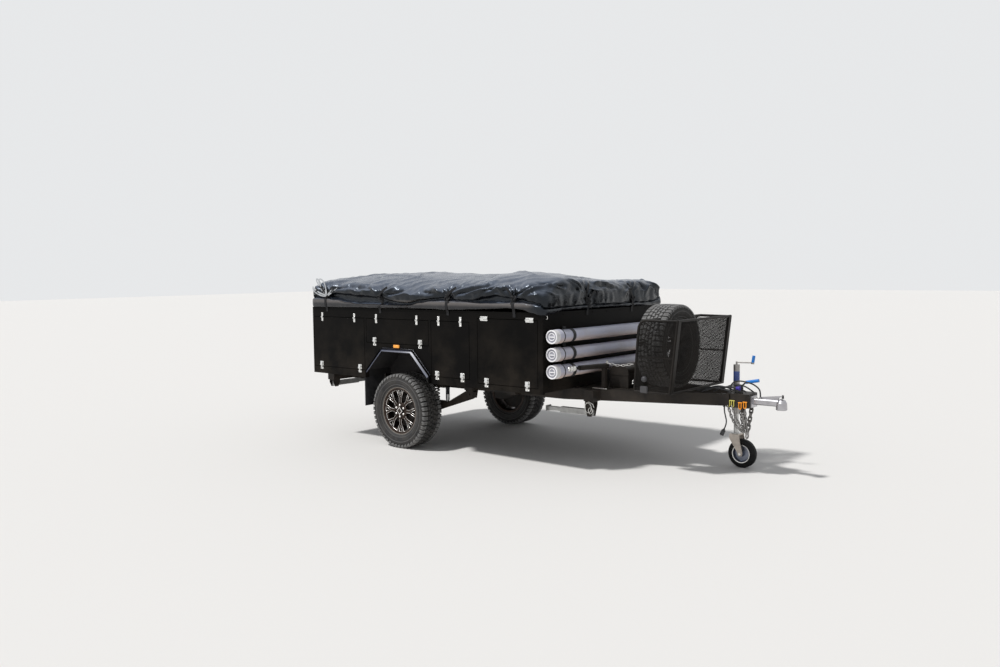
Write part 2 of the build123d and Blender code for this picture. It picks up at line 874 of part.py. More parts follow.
def mesh_cage():
    height = cage_top - floor_z
    lean = degrees(asin(cage_lean / height))
    base = floor_z
    front = Pos(cage_front, 0, base) * Rot(0, lean, 0) * Pos(0, 0, height / 2) * leaning_panel()
    half = cage_tube / 2
    side_y = cage_half_width - half
    rear_top = cage_rear + 40
    outline = face_of([
        (cage_rear, base),
        (cage_front, base),
        (cage_front + cage_lean, cage_top),
        (rear_top + 60, cage_top),
        (rear_top + 8, cage_top - 45),
    ])
    inner = offset(outline, -cage_tube)
    side = side_prism(outline - inner, side_y - half, side_y + half)
    columns = int((cage_front - cage_rear) / mesh_pitch) + 1
    rows = int(height / mesh_pitch)
    cutter = Sketch() + [place * Rectangle(mesh_pitch - mesh_bar, mesh_pitch - mesh_bar)
                         for place in GridLocations(mesh_pitch, mesh_pitch, columns + 2, rows + 2)]
    middle = Pos((cage_rear + cage_front + cage_lean) / 2, (base + cage_top) / 2)
    net = offset(outline, -cage_tube / 2) - middle * cutter
    side += side_prism(net, side_y - mesh_thickness / 2, side_y + mesh_thickness / 2)
    stub = block(cage_rear, cage_rear + cage_tube, rail_centre(cage_rear) - 40,
                 cage_half_width, base, base + cage_tube)
    cage = both_sides(side + stub) + front
    return cage - block(cage_rear - 100, cage_front + 200, -1000, 1000, base - 60, base)


def drawbar_locker():
    box = block(drawbar_tie_x - locker_length / 2, drawbar_tie_x + locker_length / 2,
                -locker_half_width, locker_half_width, floor_z, floor_z + locker_height)
    box = fillet(box.faces().sort_by(Axis.Z)[-1].edges().filter_by(Axis.Y), locker_round)
    lid_line = block(drawbar_tie_x - locker_length / 2 - 6, drawbar_tie_x + locker_length / 2 + 6,
                     -locker_half_width - 6, locker_half_width + 6,
                     floor_z + locker_height - locker_round - 22,
                     floor_z + locker_height - locker_round - 8)
    return box + lid_line


def gear_stay():
    """A post on the right rail with a tube clamped across its top, and a thinner end piece."""
    y = -rail_centre(post_x)
    post = block(post_x - post_size / 2, post_x + post_size / 2, y - post_size / 2,
                 y + post_size / 2, floor_z, floor_z + post_height)
    start = Vector(post_x + 12, y + 30, floor_z + post_height)
    end = start + Vector(-92, -stay_length, 0)
    tip = end + (end - start).normalized() * stay_end_length
    tube = rod(tuple(start), tuple(end), stay_diameter)
    return post + tube + rod(tuple(end), tuple(tip), stay_end_diameter)


def coupling():
    flange = block(nose_front, nose_front + coupling_flange, -coupling_flange_size / 2,
                   coupling_flange_size / 2, coupling_z - 46, coupling_z + 50)
    cup_radius = ball_bore + cup_wall
    cup_x = coupling_tip - cup_radius
    shank = block(nose_front, cup_x, -shank_width / 2, shank_width / 2,
                  coupling_z - shank_height / 2 + 8, coupling_z + shank_height / 2)
    shank = chamfer(shank.edges().filter_by(Axis.X), 9)
    low = coupling_z - 50
    top = coupling_z + 42
    cup = revolve(Plane.XZ * face_of([
        (0, low),
        (cup_radius - 4, low),
        (cup_radius, low + 5),
        (cup_radius, low + 16),
        (cup_radius - 3, top - 34),
        (cup_radius - 16, top - 10),
        (0, top),
    ]), Axis.Z, 360)
    body = flange + shank + Pos(cup_x, 0, 0) * cup
    bore = Pos(cup_x, 0, low + ball_bore_depth / 2) * Cylinder(ball_bore, ball_bore_depth)
    dome = Pos(cup_x, 0, low + ball_bore_depth) * Sphere(ball_bore)
    lever = side_prism(face_of([
        (nose_front + 60, coupling_z + shank_height / 2 - 2),
        (cup_x - 30, coupling_z + shank_height / 2 - 2),
        (cup_x - 20, coupling_z + 52),
        (cup_x + 10, coupling_z + 60),
        (cup_x + 10, coupling_z + 66),
        (cup_x - 40, coupling_z + 62),
        (nose_front + 70, coupling_z + 44),
    ]), -11, 11)
    gland = rod((3322, -18, coupling_z + shank_height / 2 - 4), (3322, -18, 671), 18)
    return body - bore - dome + lever + gland


def brake_lever():
    """Hand brake on the nose: its stand, lever and grip."""
    top = floor_z + nose_rise
    stand = block(3100, 3170, -26, -14, top, top + 60)
    bar = rod((3135, -8, top + 40), (3190, -4, top + 92), 14)
    bar += rod((3188, -4, top + 90), (3300, 0, top + 112), 28)
    pivot = rod((3135, -30, top + 40), (3135, 0, top + 40), 16)
    gland = rod((3082, -78, top), (3082, -78, 712), 18)
    return stand + bar + pivot + gland


def jockey_mount():
    """Clamp, outer tube and crank of the jockey wheel."""
    tube = rod((jockey_x, jockey_y, jockey_outer_bottom), (jockey_x, jockey_y, jockey_outer_top),
               jockey_outer)
    tube -= rod((jockey_x, jockey_y, jockey_outer_bottom - 1),
                (jockey_x, jockey_y, jockey_outer_top - 20), jockey_bore)
    collar = rod((jockey_x, jockey_y, 600), (jockey_x, jockey_y, 680), jockey_outer + 20)
    collar -= rod((jockey_x, jockey_y, 590), (jockey_x, jockey_y, 690), jockey_outer - 2)
    across = rail_width / 2 * (1 + drawbar_slope ** 2) ** 0.5
    shelf = face_of([
        (jockey_x - 35, rail_centre(jockey_x - 35) + across + seat_gap),
        (jockey_x + 35, rail_centre(jockey_x + 35) + across + seat_gap),
        (jockey_x + 20, jockey_y),
        (jockey_x - 20, jockey_y),
    ])
    bracket = plan_prism(shelf, 605, 675)
    bracket -= rod((jockey_x, jockey_y, 590), (jockey_x, jockey_y, 690), jockey_outer)
    top = jockey_outer_top
    crank = rod((jockey_x, jockey_y, top - 10), (jockey_x, jockey_y, top + 26), 16)
    crank += rod((jockey_x, jockey_y, top + 18), (jockey_x + crank_reach, jockey_y, top + 24), 12)
    crank += rod((jockey_x + crank_reach - 4, jockey_y, top + 12),
                 (jockey_x + crank_reach + 8, jockey_y, top + 84), 26)
    return tube + collar + bracket + crank


def jockey_leg():
    """Inner tube of the jockey wheel, with the swivel plate at its foot."""
    bottom = fork_top + fork_plate + swivel_gap
    tube = rod((jockey_x, jockey_y, bottom), (jockey_x, jockey_y, jockey_inner_top),
               jockey_inner)
    return tube + rod((jockey_x, jockey_y, bottom), (jockey_x, jockey_y, bottom + 8), 76)


def jockey_fork():
    half = fork_inner_width / 2
    axle_x = jockey_x + jockey_trail
    axle_z = jockey_wheel_diameter / 2
    top = fork_top + fork_plate
    bridge = block(jockey_x - 38, jockey_x + 44, jockey_y - half - fork_plate,
                   jockey_y + half + fork_plate, fork_top, top)
    cheek = face_of([
        (jockey_x - 38, top),
        (jockey_x + 44, top),
        (axle_x + 24, axle_z + 10),
        (axle_x + 16, axle_z - 18),
        (axle_x - 16, axle_z - 18),
        (axle_x - 26, axle_z + 14),
        (jockey_x - 38, fork_top - 30),
    ])
    fork = bridge
    for low in (jockey_y - half - fork_plate, jockey_y + half):
        fork += side_prism(cheek, low, low + fork_plate)
    fork += rod((axle_x, jockey_y - half - fork_plate - 8, axle_z),
                (axle_x, jockey_y + half + fork_plate + 8, axle_z), jockey_axle)
    return fork


def at_jockey(piece):
    return Pos(jockey_x + jockey_trail, jockey_y, jockey_wheel_diameter / 2) * piece


def jockey_tyre():
    outer = jockey_wheel_diameter / 2
    half = jockey_wheel_width / 2
    bead = jockey_rim_diameter / 2 + bead_clearance
    return turned([
        (bead, half - 8),
        (bead + 14, half),
        (outer - 12, half - 3),
        (outer, half - 18),
        (outer, -half + 18),
        (outer - 12, -half + 3),
        (bead + 14, -half),
        (bead, -half + 8),
    ])


def jockey_rim():
    seat = jockey_rim_diameter / 2
    half = jockey_wheel_width / 2
    bore = jockey_axle / 2 + running_clearance
    hub_end = fork_inner_width / 2 - leg_play
    return turned([
        (bore, hub_end),
        (22, hub_end),
        (26, 10),
        (seat - 18, 8),
        (seat - 8, half - 4),
        (seat, half - 8),
        (seat, -half + 8),
        (seat - 8, -half + 4),
        (seat - 18, -8),
        (26, -10),
        (22, -hub_end),
        (bore, -hub_end),
    ])


# Stabiliser legs
def leg_bracket(height):
    """A pair of cheeks along X under the frame, with their pin at the origin."""
    inner = leg_tube / 2 + leg_play
    top = rail_bottom - height
    bracket = block(-45, 45, -inner - leg_cheek, inner + leg_cheek, top - leg_cheek, top)
    for low in (-inner - leg_cheek, inner):
        cheek = face_of([
            (-45, top),
            (-45, top - 30),
            (-22, -34),
            (22, -34),
            (45, top - 30),
            (45, top),
        ])
        bracket += side_prism(cheek, low, low + leg_cheek)
    pin_end = inner + leg_cheek + 6
    return bracket + rod((0, -pin_end, 0), (0, pin_end, 0), leg_pin)


def leg_brackets():
    brackets = Part()
    for name, x, y, height, turn in legs:
        brackets += both_sides(Pos(x, y, height) * Rot(0, 0, turn) * leg_bracket(height))
    return brackets


def stabiliser(x, y, height, turn):
    """A stowed leg: square tube, thinner inner tube and foot plate, pinned at its root."""
    half = leg_tube / 2
    outer_end = leg_length - leg_extension
    tube = block(-leg_root, outer_end, -half, half, -half, half)
    inner = block(outer_end, leg_length - 6, -half + 7, half - 7, -half + 7, half - 7)
    foot = block(leg_length - 6, leg_length, -half - 16, half + 16, -half - 2, half + 2)
    leg = tube + inner + foot
    leg -= Rot(90, 0, 0) * Cylinder(leg_pin / 2 + bolt_clearance, leg_tube + 2)
    return Pos(x, y, height) * Rot(0, 0, turn) * leg


# Safety chains
def link():
    """One link of square wire in the XY plane, long along X."""
    ring = SlotOverall(link_length, link_width) - SlotOverall(
        link_length - 2 * chain_wire, link_width - 2 * chain_wire)
    return extrude(Plane.XY.offset(-chain_wire / 2) * ring, chain_wire)


def safety_chains():
    lug_z = rail_bottom - nose_drop - lug_radius + 4
    ring_radius = end_ring / 2
    hang = lug_hole / 2 - 4.2
    length = hang + link_length / 2 - chain_wire + chain_pitch * (links - 1)
    length += link_length / 2 - chain_wire - 7.5
    lean = asin(chain_lug_y / (length + ring_radius))
    chains = Part()
    for side in (-1, 1):
        start = Vector(chain_lug_x, side * chain_lug_y, lug_z)
        down = Vector(0, -side * sin(lean), -cos(lean))
        for count in range(links):
            centre = start + down * (hang + link_length / 2 - chain_wire + chain_pitch * count)
            across = Vector(1, 0, 0)
            if count % 2 == 0:
                across = down.cross(Vector(1, 0, 0))
            chains += Plane(origin=centre, x_dir=down, z_dir=across) * link()
    ring_z = lug_z - (length + ring_radius) * cos(lean)
    outer = rod((chain_lug_x - chain_wire / 2, 0, ring_z), (chain_lug_x + chain_wire / 2, 0, ring_z),
                end_ring + chain_wire)
    outer -= rod((chain_lug_x - chain_wire, 0, ring_z), (chain_lug_x + chain_wire, 0, ring_z),
                 end_ring - chain_wire)
    return chains + outer


# Leads
def lead(route, diameter, name):
    """A round lead along straight runs and the widest arcs that their corners allow."""
    points = [Vector(*point) for point in route]
    radii = []
    for before, here, after in zip(points, points[1:], points[2:]):
        run = min((here - before).length, (after - here).length)
        turn = radians((here - before).get_angle(after - here))
        radii.append(0.45 * run / tan(turn / 2))
    path = FilletPolyline(*points, radius=radii)
    start = Plane(origin=points[0], z_dir=points[1] - points[0])
    tube = sweep(start * Circle(diameter / 2), path=path)
    print(name, "length", round(path.length), "least radius", round(min(radii)),
          "volume ratio", round(tube.volume / (path.length * 3.14159265 * diameter ** 2 / 4), 4))
    return tube


def lead_plug():
    """Trailer plug on the end of the hanging lead."""
    end = Vector(*plug_lead_route[-1])
    way = (end - Vector(*plug_lead_route[-2])).normalized()
    boot = rod(tuple(end), tuple(end + way * 16), 18)
    return boot + rod(tuple(end + way * 14), tuple(end + way * 58), 34)


def lead_gland():
    x, y, z = plug_lead_route[0]
    return rod((x, y, z), (x, y, rail_bottom), 20)


def save(name, shape):
    """Write one piece, moved so that the origin is under the middle of the trailer."""
    export_step(Pos(origin_shift, 0, 0) * shape, f"parts/{name}.step")


save("chassis", chassis())
save("drawbar", drawbar())
save("body_floor", body_floor())
save("deck", deck())
save("front_wall", front_wall())
save("rear_frame", rear_frame())
save("tailgate", tailgate())
save("bulkheads", bulkheads())
save("wheel_tubs", both_sides(wheel_tub()))
save("mud_flaps", mud_flaps())
save("lamps", lamps())
save("trailing_arms", both_sides(trailing_arm()))
save("spring_units", both_sides(spring_units()))
save("storm_cover", storm_cover())
save("pole_tubes", pole_tubes())
save("tube_straps", tube_straps())
save("mesh_cage", mesh_cage())
save("drawbar_locker", drawbar_locker())
save("gear_stay", gear_stay())
save("coupling", coupling())
save("brake_lever", brake_lever())
save("safety_chains", safety_chains())
save("plug_lead", lead(plug_lead_route, lead_diameter, "plug_lead"))
save("brake_cable", lead(brake_cable_route, brake_cable_diameter, "brake_cable"))
save("lead_plug", lead_plug())
save("lead_gland", lead_gland())
save("leg_brackets", leg_brackets())
save("jockey_mount", jockey_mount())
save("jockey_leg", jockey_leg())
save("jockey_fork", jockey_fork())
save("jockey_tyre", at_jockey(jockey_tyre()))
save("jockey_rim", at_jockey(jockey_rim()))
save("spare_tyre", at_spare(tyre()))
save("spare_rim", at_spare(rim()))

left_wall = side_wall()
for side, word in ((1, "left"), (-1, "right")):
    place = (lambda shape: shape) if side > 0 else mirrored
    save(f"side_wall_{word}", place(left_wall))
    save(f"tyre_{word}", on_axle(tyre(), side))
    save(f"rim_{word}", on_axle(rim(), side))
    save(f"hub_{word}", on_axle(hub(), side))
    for door in side_doors:
        save(f"door_{door[0]}_{word}", place(side_door(door)))
    for name, x, y, height, turn in legs:
        save(f"leg_{name}_{word}", place(stabiliser(x, y, height, turn)))
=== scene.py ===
"""Off-road soft-top camper trailer on its jockey wheel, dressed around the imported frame."""
import math

import bmesh
import bpy
import numpy as np
from mathutils import Matrix, Vector


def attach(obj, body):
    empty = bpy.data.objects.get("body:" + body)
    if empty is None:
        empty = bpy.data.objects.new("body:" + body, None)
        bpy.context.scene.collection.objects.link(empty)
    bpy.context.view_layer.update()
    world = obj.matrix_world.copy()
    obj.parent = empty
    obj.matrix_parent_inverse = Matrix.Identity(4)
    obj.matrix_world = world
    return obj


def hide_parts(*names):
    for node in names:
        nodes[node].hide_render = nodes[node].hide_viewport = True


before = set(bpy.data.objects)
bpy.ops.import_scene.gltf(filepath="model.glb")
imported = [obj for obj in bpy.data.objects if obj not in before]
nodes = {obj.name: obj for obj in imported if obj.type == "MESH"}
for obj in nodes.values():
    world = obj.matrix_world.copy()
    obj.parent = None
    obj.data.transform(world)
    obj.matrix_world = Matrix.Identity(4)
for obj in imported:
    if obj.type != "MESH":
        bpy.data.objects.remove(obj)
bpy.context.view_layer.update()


# The studio: the photographer's place and lens, a pale floor, an even sky, and one lamp that
# stands high on the near side to the rear, where the photo's shadows place the sun.
camera_place = (5.2667, -7.0321, 1.7432)
camera_right = (0.7673, 0.6413, -0.0110)
camera_up = (-0.0368, 0.0612, 0.9974)
camera_back = (0.6403, -0.7648, 0.0706)
lens_mm = 32.31
floor_reach = 60
floor_colour = (0.80, 0.78, 0.75, 1)


def shown(name, data):
    """A new object in the scene, for data that is already in its place."""
    made = bpy.data.objects.new(name, data)
    bpy.context.scene.collection.objects.link(made)
    return made


camera = shown("camera", bpy.data.cameras.new("camera"))
turn = Matrix((camera_right, camera_up, camera_back)).transposed()
camera.matrix_world = Matrix.Translation(camera_place) @ turn.to_4x4()
camera.data.lens = lens_mm
camera.data.sensor_width = 36
camera.data.clip_end = 400
bpy.context.scene.camera = camera
bpy.context.scene.view_settings.view_transform = "Standard"

floor_mesh = bpy.data.meshes.new("studio_floor")
corners = [(-floor_reach, -floor_reach, 0), (floor_reach, -floor_reach, 0),
           (floor_reach, floor_reach, 0), (-floor_reach, floor_reach, 0)]
floor_mesh.from_pydata(corners, [], [(0, 1, 2, 3)])
studio_floor = shown("studio_floor", floor_mesh)
floor_finish = bpy.data.materials.new("pale_floor")
floor_finish.use_nodes = True
floor_finish.node_tree.nodes["Principled BSDF"].inputs["Base Color"].default_value = floor_colour
floor_finish.node_tree.nodes["Principled BSDF"].inputs["Roughness"].default_value = 0.85
floor_mesh.materials.append(floor_finish)

sky = bpy.data.worlds.new("studio_sky")
bpy.context.scene.world = sky
sky.use_nodes = True
sky_nodes = sky.node_tree.nodes
sky_links = sky.node_tree.links
even_sky = sky_nodes["Background"]
even_sky.inputs["Color"].default_value = (0.92, 0.95, 1.0, 1)
even_sky.inputs["Strength"].default_value = 0.40
seen_sky = sky_nodes.new("ShaderNodeBackground")
seen_sky.inputs["Color"].default_value = (0.80, 0.81, 0.82, 1)
seen_sky.inputs["Strength"].default_value = 1.0
which_ray = sky_nodes.new("ShaderNodeLightPath")
sky_mix = sky_nodes.new("ShaderNodeMixShader")
either = which_ray.outputs["Is Camera Ray"]
for kind in ("Is Glossy Ray", "Is Transmission Ray"):
    larger = sky_nodes.new("ShaderNodeMath")
    larger.operation = "MAXIMUM"
    sky_links.new(either, larger.inputs[0])
    sky_links.new(which_ray.outputs[kind], larger.inputs[1])
    either = larger.outputs[0]
sky_links.new(either, sky_mix.inputs[0])
sky_links.new(even_sky.outputs[0], sky_mix.inputs[1])
sky_links.new(seen_sky.outputs[0], sky_mix.inputs[2])
sky_links.new(sky_mix.outputs[0], sky_nodes["World Output"].inputs["Surface"])

high_sun = shown("high_sun", bpy.data.lights.new("high_sun", "SUN"))
high_sun.data.energy = 2.6
high_sun.data.angle = math.radians(5)
high_sun.rotation_euler = Vector((0.34, 0.52, -1.0)).to_track_quat("-Z", "Y").to_euler()


# The two free leads: the trailer's plug lead hangs from a gland under the nose, and the
# brake cable arches from the hand lever to the coupling. Both are round black rubber hose.
from_axle = 1.1305
lead_bore = 0.011
plug_lead_points = [
    (3.045, -0.108, 0.578), (3.045, -0.108, 0.545), (3.056, -0.111, 0.505),
    (3.068, -0.112, 0.462), (3.061, -0.110, 0.424), (3.046, -0.109, 0.392),
]
brake_cable_bore = 0.012
brake_cable_points = [
    (3.082, -0.078, 0.712), (3.082, -0.078, 0.742), (3.101, -0.083, 0.778),
    (3.140, -0.088, 0.799), (3.186, -0.090, 0.804), (3.240, -0.088, 0.796),
    (3.288, -0.078, 0.782), (3.322, -0.050, 0.748), (3.322, -0.018, 0.712),
    (3.322, -0.018, 0.671),
]


class Value:
    """A number in a material that Python's own arithmetic works on."""

    def __init__(self, finish, socket):
        self.finish = finish
        self.socket = socket

    def maths(self, operation, *values):
        return self.finish.node("ShaderNodeMath", {"operation": operation},
                                dict(enumerate(values)))

    def __add__(self, other):
        return self.maths("ADD", self, other)

    def __radd__(self, other):
        return self.maths("ADD", other, self)

    def __sub__(self, other):
        return self.maths("SUBTRACT", self, other)

    def __rsub__(self, other):
        return self.maths("SUBTRACT", other, self)

    def __mul__(self, other):
        return self.maths("MULTIPLY", self, other)

    def __rmul__(self, other):
        return self.maths("MULTIPLY", other, self)

    def __gt__(self, other):
        return self.maths("GREATER_THAN", self, other)

    def __lt__(self, other):
        return self.maths("LESS_THAN", self, other)

    def __abs__(self):
        return self.maths("ABSOLUTE", self)

    def kept(self):
        """The value held between 0 and 1."""
        return self.maths("MINIMUM", self.maths("MAXIMUM", self, 0.0), 1.0)


class Finish:
    """One material: its nodes are added by a single method and joined by expressions."""

    def __init__(self, name, **set_values):
        self.material = bpy.data.materials.new(name)
        self.material.use_nodes = True
        self.tree = self.material.node_tree
        self.shader = self.tree.nodes["Principled BSDF"]
        for key, value in set_values.items():
            socket = self.shader.inputs[key.replace("_", " ")]
            socket.default_value = (*value, 1) if isinstance(value, tuple) else value
        self.coordinates = self.tree.nodes.new("ShaderNodeTexCoord")
        self.place = Value(self, self.coordinates.outputs["Object"])

    def node(self, kind, settings=None, sockets=None, out=0):
        """Add one node: its settings first, then the values or links of its sockets."""
        made = self.tree.nodes.new(kind)
        for key, value in (settings or {}).items():
            if key == "stops":
                while len(made.color_ramp.elements) < len(value):
                    made.color_ramp.elements.new(0.5)
                for element, (position, colour) in zip(made.color_ramp.elements, value):
                    element.position = position
                    element.color = (*colour, 1) if isinstance(colour, tuple) else (colour,) * 3 + (1,)
            else:
                setattr(made, key, value)
        for key, value in (sockets or {}).items():
            self.feed(made.inputs[key], value)
        return Value(self, made.outputs[out])

    def feed(self, socket, value):
        if isinstance(value, Value):
            self.tree.links.new(value.socket, socket)
        elif isinstance(value, tuple) and socket.type == "RGBA":
            socket.default_value = (*value, 1)[:4]
        else:
            socket.default_value = value

    def noise(self, scale, detail=3.0, rough=0.5, where=None, warp=0.0):
        return self.node("ShaderNodeTexNoise", {}, {
            "Vector": where or self.place, "Scale": scale, "Detail": detail, "Roughness": rough,
            "Distortion": warp})

    def stretched(self, *by):
        return self.node("ShaderNodeMapping", {}, {"Vector": self.place, "Scale": by})

    def ramp(self, value, *stops):
        return self.node("ShaderNodeValToRGB", {"stops": stops}, {"Fac": value})

    def mixed(self, share, first, second):
        return self.node("ShaderNodeMix", {"data_type": "RGBA"}, {0: share, 6: first, 7: second}, 2)

    def axis(self, letter):
        parts = self.node("ShaderNodeSeparateXYZ", {}, {"Vector": self.place})
        return Value(self, parts.socket.node.outputs[letter])

    def bump(self, height, strength, depth):
        return self.node("ShaderNodeBump", {}, {"Height": height, "Strength": strength,
                                                "Distance": depth})

    def surface(self, **links):
        for key, value in links.items():
            self.feed(self.shader.inputs[key.replace("_", " ")], value)
        return self.material


def rubber_finish(name, shade, grain, gloss=0.5):
    """Black rubber, dusty in patches, with a fine moulded grain."""
    made = Finish(name, Specular_IOR_Level=gloss)
    dust = made.ramp(made.noise(14, 5, 0.6), (0.35, shade), (0.8, tuple(4 * c for c in shade)))
    pitted = made.noise(grain, 3, 0.6)
    return made.surface(Base_Color=dust, Roughness=0.5 + 0.35 * made.noise(30),
                        Normal=made.bump(pitted, 0.25, 0.0006))


hose_rubber = rubber_finish("hose_rubber", (0.012, 0.012, 0.013), 900)


def lead(name, points, bore, stands_for, **facts):
    """A round lead on a smooth line, led by points that are counted from the axle line."""
    curve = bpy.data.curves.new(name, "CURVE")
    curve.dimensions = "3D"
    line = curve.splines.new("NURBS")
    line.points.add(len(points) - 1)
    for control, (x, y, z) in zip(line.points, points):
        control.co = (x - from_axle, y, z, 1)
    line.order_u = 3
    line.use_endpoint_u = True
    curve.resolution_u = 16
    curve.bevel_depth = bore / 2
    curve.bevel_resolution = 5
    curve.use_fill_caps = True
    curve.materials.append(hose_rubber)
    hose = shown(name, curve)
    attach(hose, "trailer")
    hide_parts(stands_for)
    x, y, z = points[0]


lead("plug_lead_hose", plug_lead_points, lead_bore, "plug_lead", length=0.192, far_end="plug",
     stiffness="medium", lay="hanging", with_pieces=[nodes["lead_plug"]])
lead("brake_cable_hose", brake_cable_points, brake_cable_bore, "brake_cable", length=0.403,
     far_end="object", stiffness="stiff", lay="loose")


# Chassis and drawbar: folded and box section steel, welded together and coated in satin
# black powder, which the road has dusted and scuffed along its lower edges.
def recoat(finish, *names):
    """Give solids of the frame a better finish."""
    for name in names:
        nodes[name].data.materials.clear()
        nodes[name].data.materials.append(finish)


def painted(name, shade, gloss, dusty, texture=420):
    """Black powder coat: a fine orange peel, faint patches, and dust towards the ground."""
    made = Finish(name, IOR=1.45, Specular_IOR_Level=0.22)
    height = made.axis("Z")
    low_down = (1.15 - height * 1.1).kept()
    dust = (made.noise(3.5, 6, 0.65) * 1.7 - 0.55).kept() * (0.25 + low_down) * dusty
    patches = made.noise(1.3, 4, 0.6, made.stretched(1, 1, 2.2))
    coat = made.mixed(patches, shade, tuple(1.5 * c for c in shade))
    peel = made.noise(texture, 2, 0.5)
    colour = made.mixed(dust.kept(), coat, (0.16, 0.125, 0.095))
    rough = gloss + 0.12 * patches + 0.4 * dust
    return made.surface(Base_Color=colour, Roughness=rough,
                        Normal=made.bump(peel, 0.10, 0.0004))


frame_enamel = painted("frame_enamel", (0.0075, 0.007, 0.0068), 0.36, 0.55)
recoat(hose_rubber, "lead_plug", "lead_gland")
recoat(frame_enamel, "chassis", "drawbar", "trailing_arms")
recoat(hose_rubber, "mud_flaps")


# Coil springs and dampers: a wound and painted spring over each trailing arm, and a zinc
# plated gas damper ahead of it with a black dust boot. They replace the CAD outlines.
spring_place = (0.150, 0.600)
spring_foot = 0.4528
spring_head = 0.5897
spring_radius = 0.048
spring_wire = 0.0135
spring_turns = 4.6
damper_place = (0.330, 0.600)


def new_tree(name, result, **inputs):
    """A tree of Geometry Nodes with named inputs, and the sockets that give them."""
    tree = bpy.data.node_groups.new(name, "GeometryNodeTree")
    for key, kind in inputs.items():
        tree.interface.new_socket(key, in_out="INPUT", socket_type="NodeSocket" + kind)
    tree.interface.new_socket(result, in_out="OUTPUT", socket_type="NodeSocketGeometry")
    return tree, tree.nodes.new("NodeGroupInput").outputs


def end_tree(tree, given, shape):
    """Make the tree's copies real, give them their finish, and send them out."""
    add, join = tree.nodes.new, tree.links.new
    real, coat = add("GeometryNodeRealizeInstances"), add("GeometryNodeSetMaterial")
    join(shape, real.inputs["Geometry"])
    join(real.outputs["Geometry"], coat.inputs["Geometry"])
    join(given["Finish"], coat.inputs["Material"])
    join(coat.outputs["Geometry"], add("NodeGroupOutput").inputs[0])
    return tree


def wire_tree():
    """Round bar along the edges of a mesh: its thickness, its sides and its finish."""
    tree, given = new_tree("bar_along_path", "Bar", Path="Geometry", Radius="Float", Sides="Int",
                           Finish="Material")
    add, join = tree.nodes.new, tree.links.new
    path, ring = add("GeometryNodeMeshToCurve"), add("GeometryNodeCurvePrimitiveCircle")
    swept = add("GeometryNodeCurveToMesh")
    swept.inputs["Fill Caps"].default_value = True
    join(given["Path"], path.inputs["Mesh"])
    join(given["Radius"], ring.inputs["Radius"])
    join(given["Sides"], ring.inputs["Resolution"])
    join(path.outputs["Curve"], swept.inputs["Curve"])
    join(ring.outputs["Curve"], swept.inputs["Profile Curve"])
    return end_tree(tree, given, swept.outputs["Mesh"])


bar_along_path = wire_tree()


def grown(piece, tree, **given):
    """Run a tree on a piece with the inputs that are named, and keep its result as the mesh."""
    maker = piece.modifiers.new("maker", "NODES")
    maker.node_group = tree
    for item in tree.interface.items_tree:
        if item.item_type == "SOCKET" and item.in_out == "INPUT" and item.name in given:
            maker[item.identifier] = given[item.name]
    ready = piece.evaluated_get(bpy.context.evaluated_depsgraph_get())
    made = bpy.data.meshes.new_from_object(ready)
    piece.modifiers.remove(maker)
    piece.data = made
    return piece


def bars(name, paths, radius, sides, finish):
    """Bars of one thickness along several lines of points, counted from the axle."""
    data = bpy.data.meshes.new(name)
    places, edges = [], []
    for path in paths:
        edges += [(len(places) + n, len(places) + n + 1) for n in range(len(path) - 1)]
        places += [(x - from_axle, y, z) for x, y, z in path]
    data.from_pydata(places, edges, [])
    return grown(shown(name, data), bar_along_path, Radius=radius, Sides=sides, Finish=finish)


def dress(piece, body, stands_for=()):
    """Seat a finished piece on its body, with the solids that it stands for."""
    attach(piece, body)
    if stands_for:
        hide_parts(*stands_for)
    return piece


def smooth(piece, degrees=40):
    """Shade a piece smooth but keep its hard edges hard."""
    with bpy.context.temp_override(object=piece, active_object=piece,
                                   selected_objects=[piece], selected_editable_objects=[piece]):
        bpy.ops.object.shade_smooth_by_angle(angle=math.radians(degrees))
    return piece


def joined(name, pieces):
    """Join several pieces into one, with their finishes kept."""
    first = pieces[0]
    with bpy.context.temp_override(object=first, active_object=first,
                                   selected_objects=pieces, selected_editable_objects=pieces):
        bpy.ops.object.join()
    first.name = name
    return first


def turned(mesh, profile, sides, axis="Y"):
    """Add a closed profile of radius and place along an axis, turned all the way round."""
    rings = []
    for side in range(sides):
        c, s = math.cos(2 * math.pi * side / sides), math.sin(2 * math.pi * side / sides)
        spun = {"Y": lambda r, a: (r * c, a, r * s), "Z": lambda r, a: (r * c, r * s, a),
                "X": lambda r, a: (a, r * c, r * s)}[axis]
        rings.append([mesh.verts.new(spun(r, a)) for r, a in profile])
    count = len(profile)
    for side in range(sides):
        here, ahead = rings[side], rings[(side + 1) % sides]
        for step in range(count):
            after = (step + 1) % count
            mesh.faces.new((here[step], here[after], ahead[after], ahead[step]))


def piece_of(mesh, name, finish, place=(0, 0, 0), turn=None, merge=0.0001, angle=40):
    """Make an object of a working mesh and put it in its place, counted from the axle."""
    bmesh.ops.remove_doubles(mesh, verts=mesh.verts, dist=merge)
    bmesh.ops.dissolve_degenerate(mesh, edges=mesh.edges, dist=0.00001)
    bmesh.ops.recalc_face_normals(mesh, faces=mesh.faces)
    data = bpy.data.meshes.new(name)
    mesh.to_mesh(data)
    mesh.free()
    x, y, z = place
    data.transform(Matrix.Translation((x - from_axle, y, z)) @ (turn or Matrix()))
    data.materials.append(finish)
    made = shown(name, data)
    return smooth(made, angle) if angle else made


def turned_piece(name, finish, profile, sides, axis="Y", place=(0, 0, 0), turn=None, angle=40):
    """A piece that is turned from its profile, in its place."""
    mesh = bmesh.new()
    turned(mesh, profile, sides, axis)
    return piece_of(mesh, name, finish, place, turn, angle=angle)


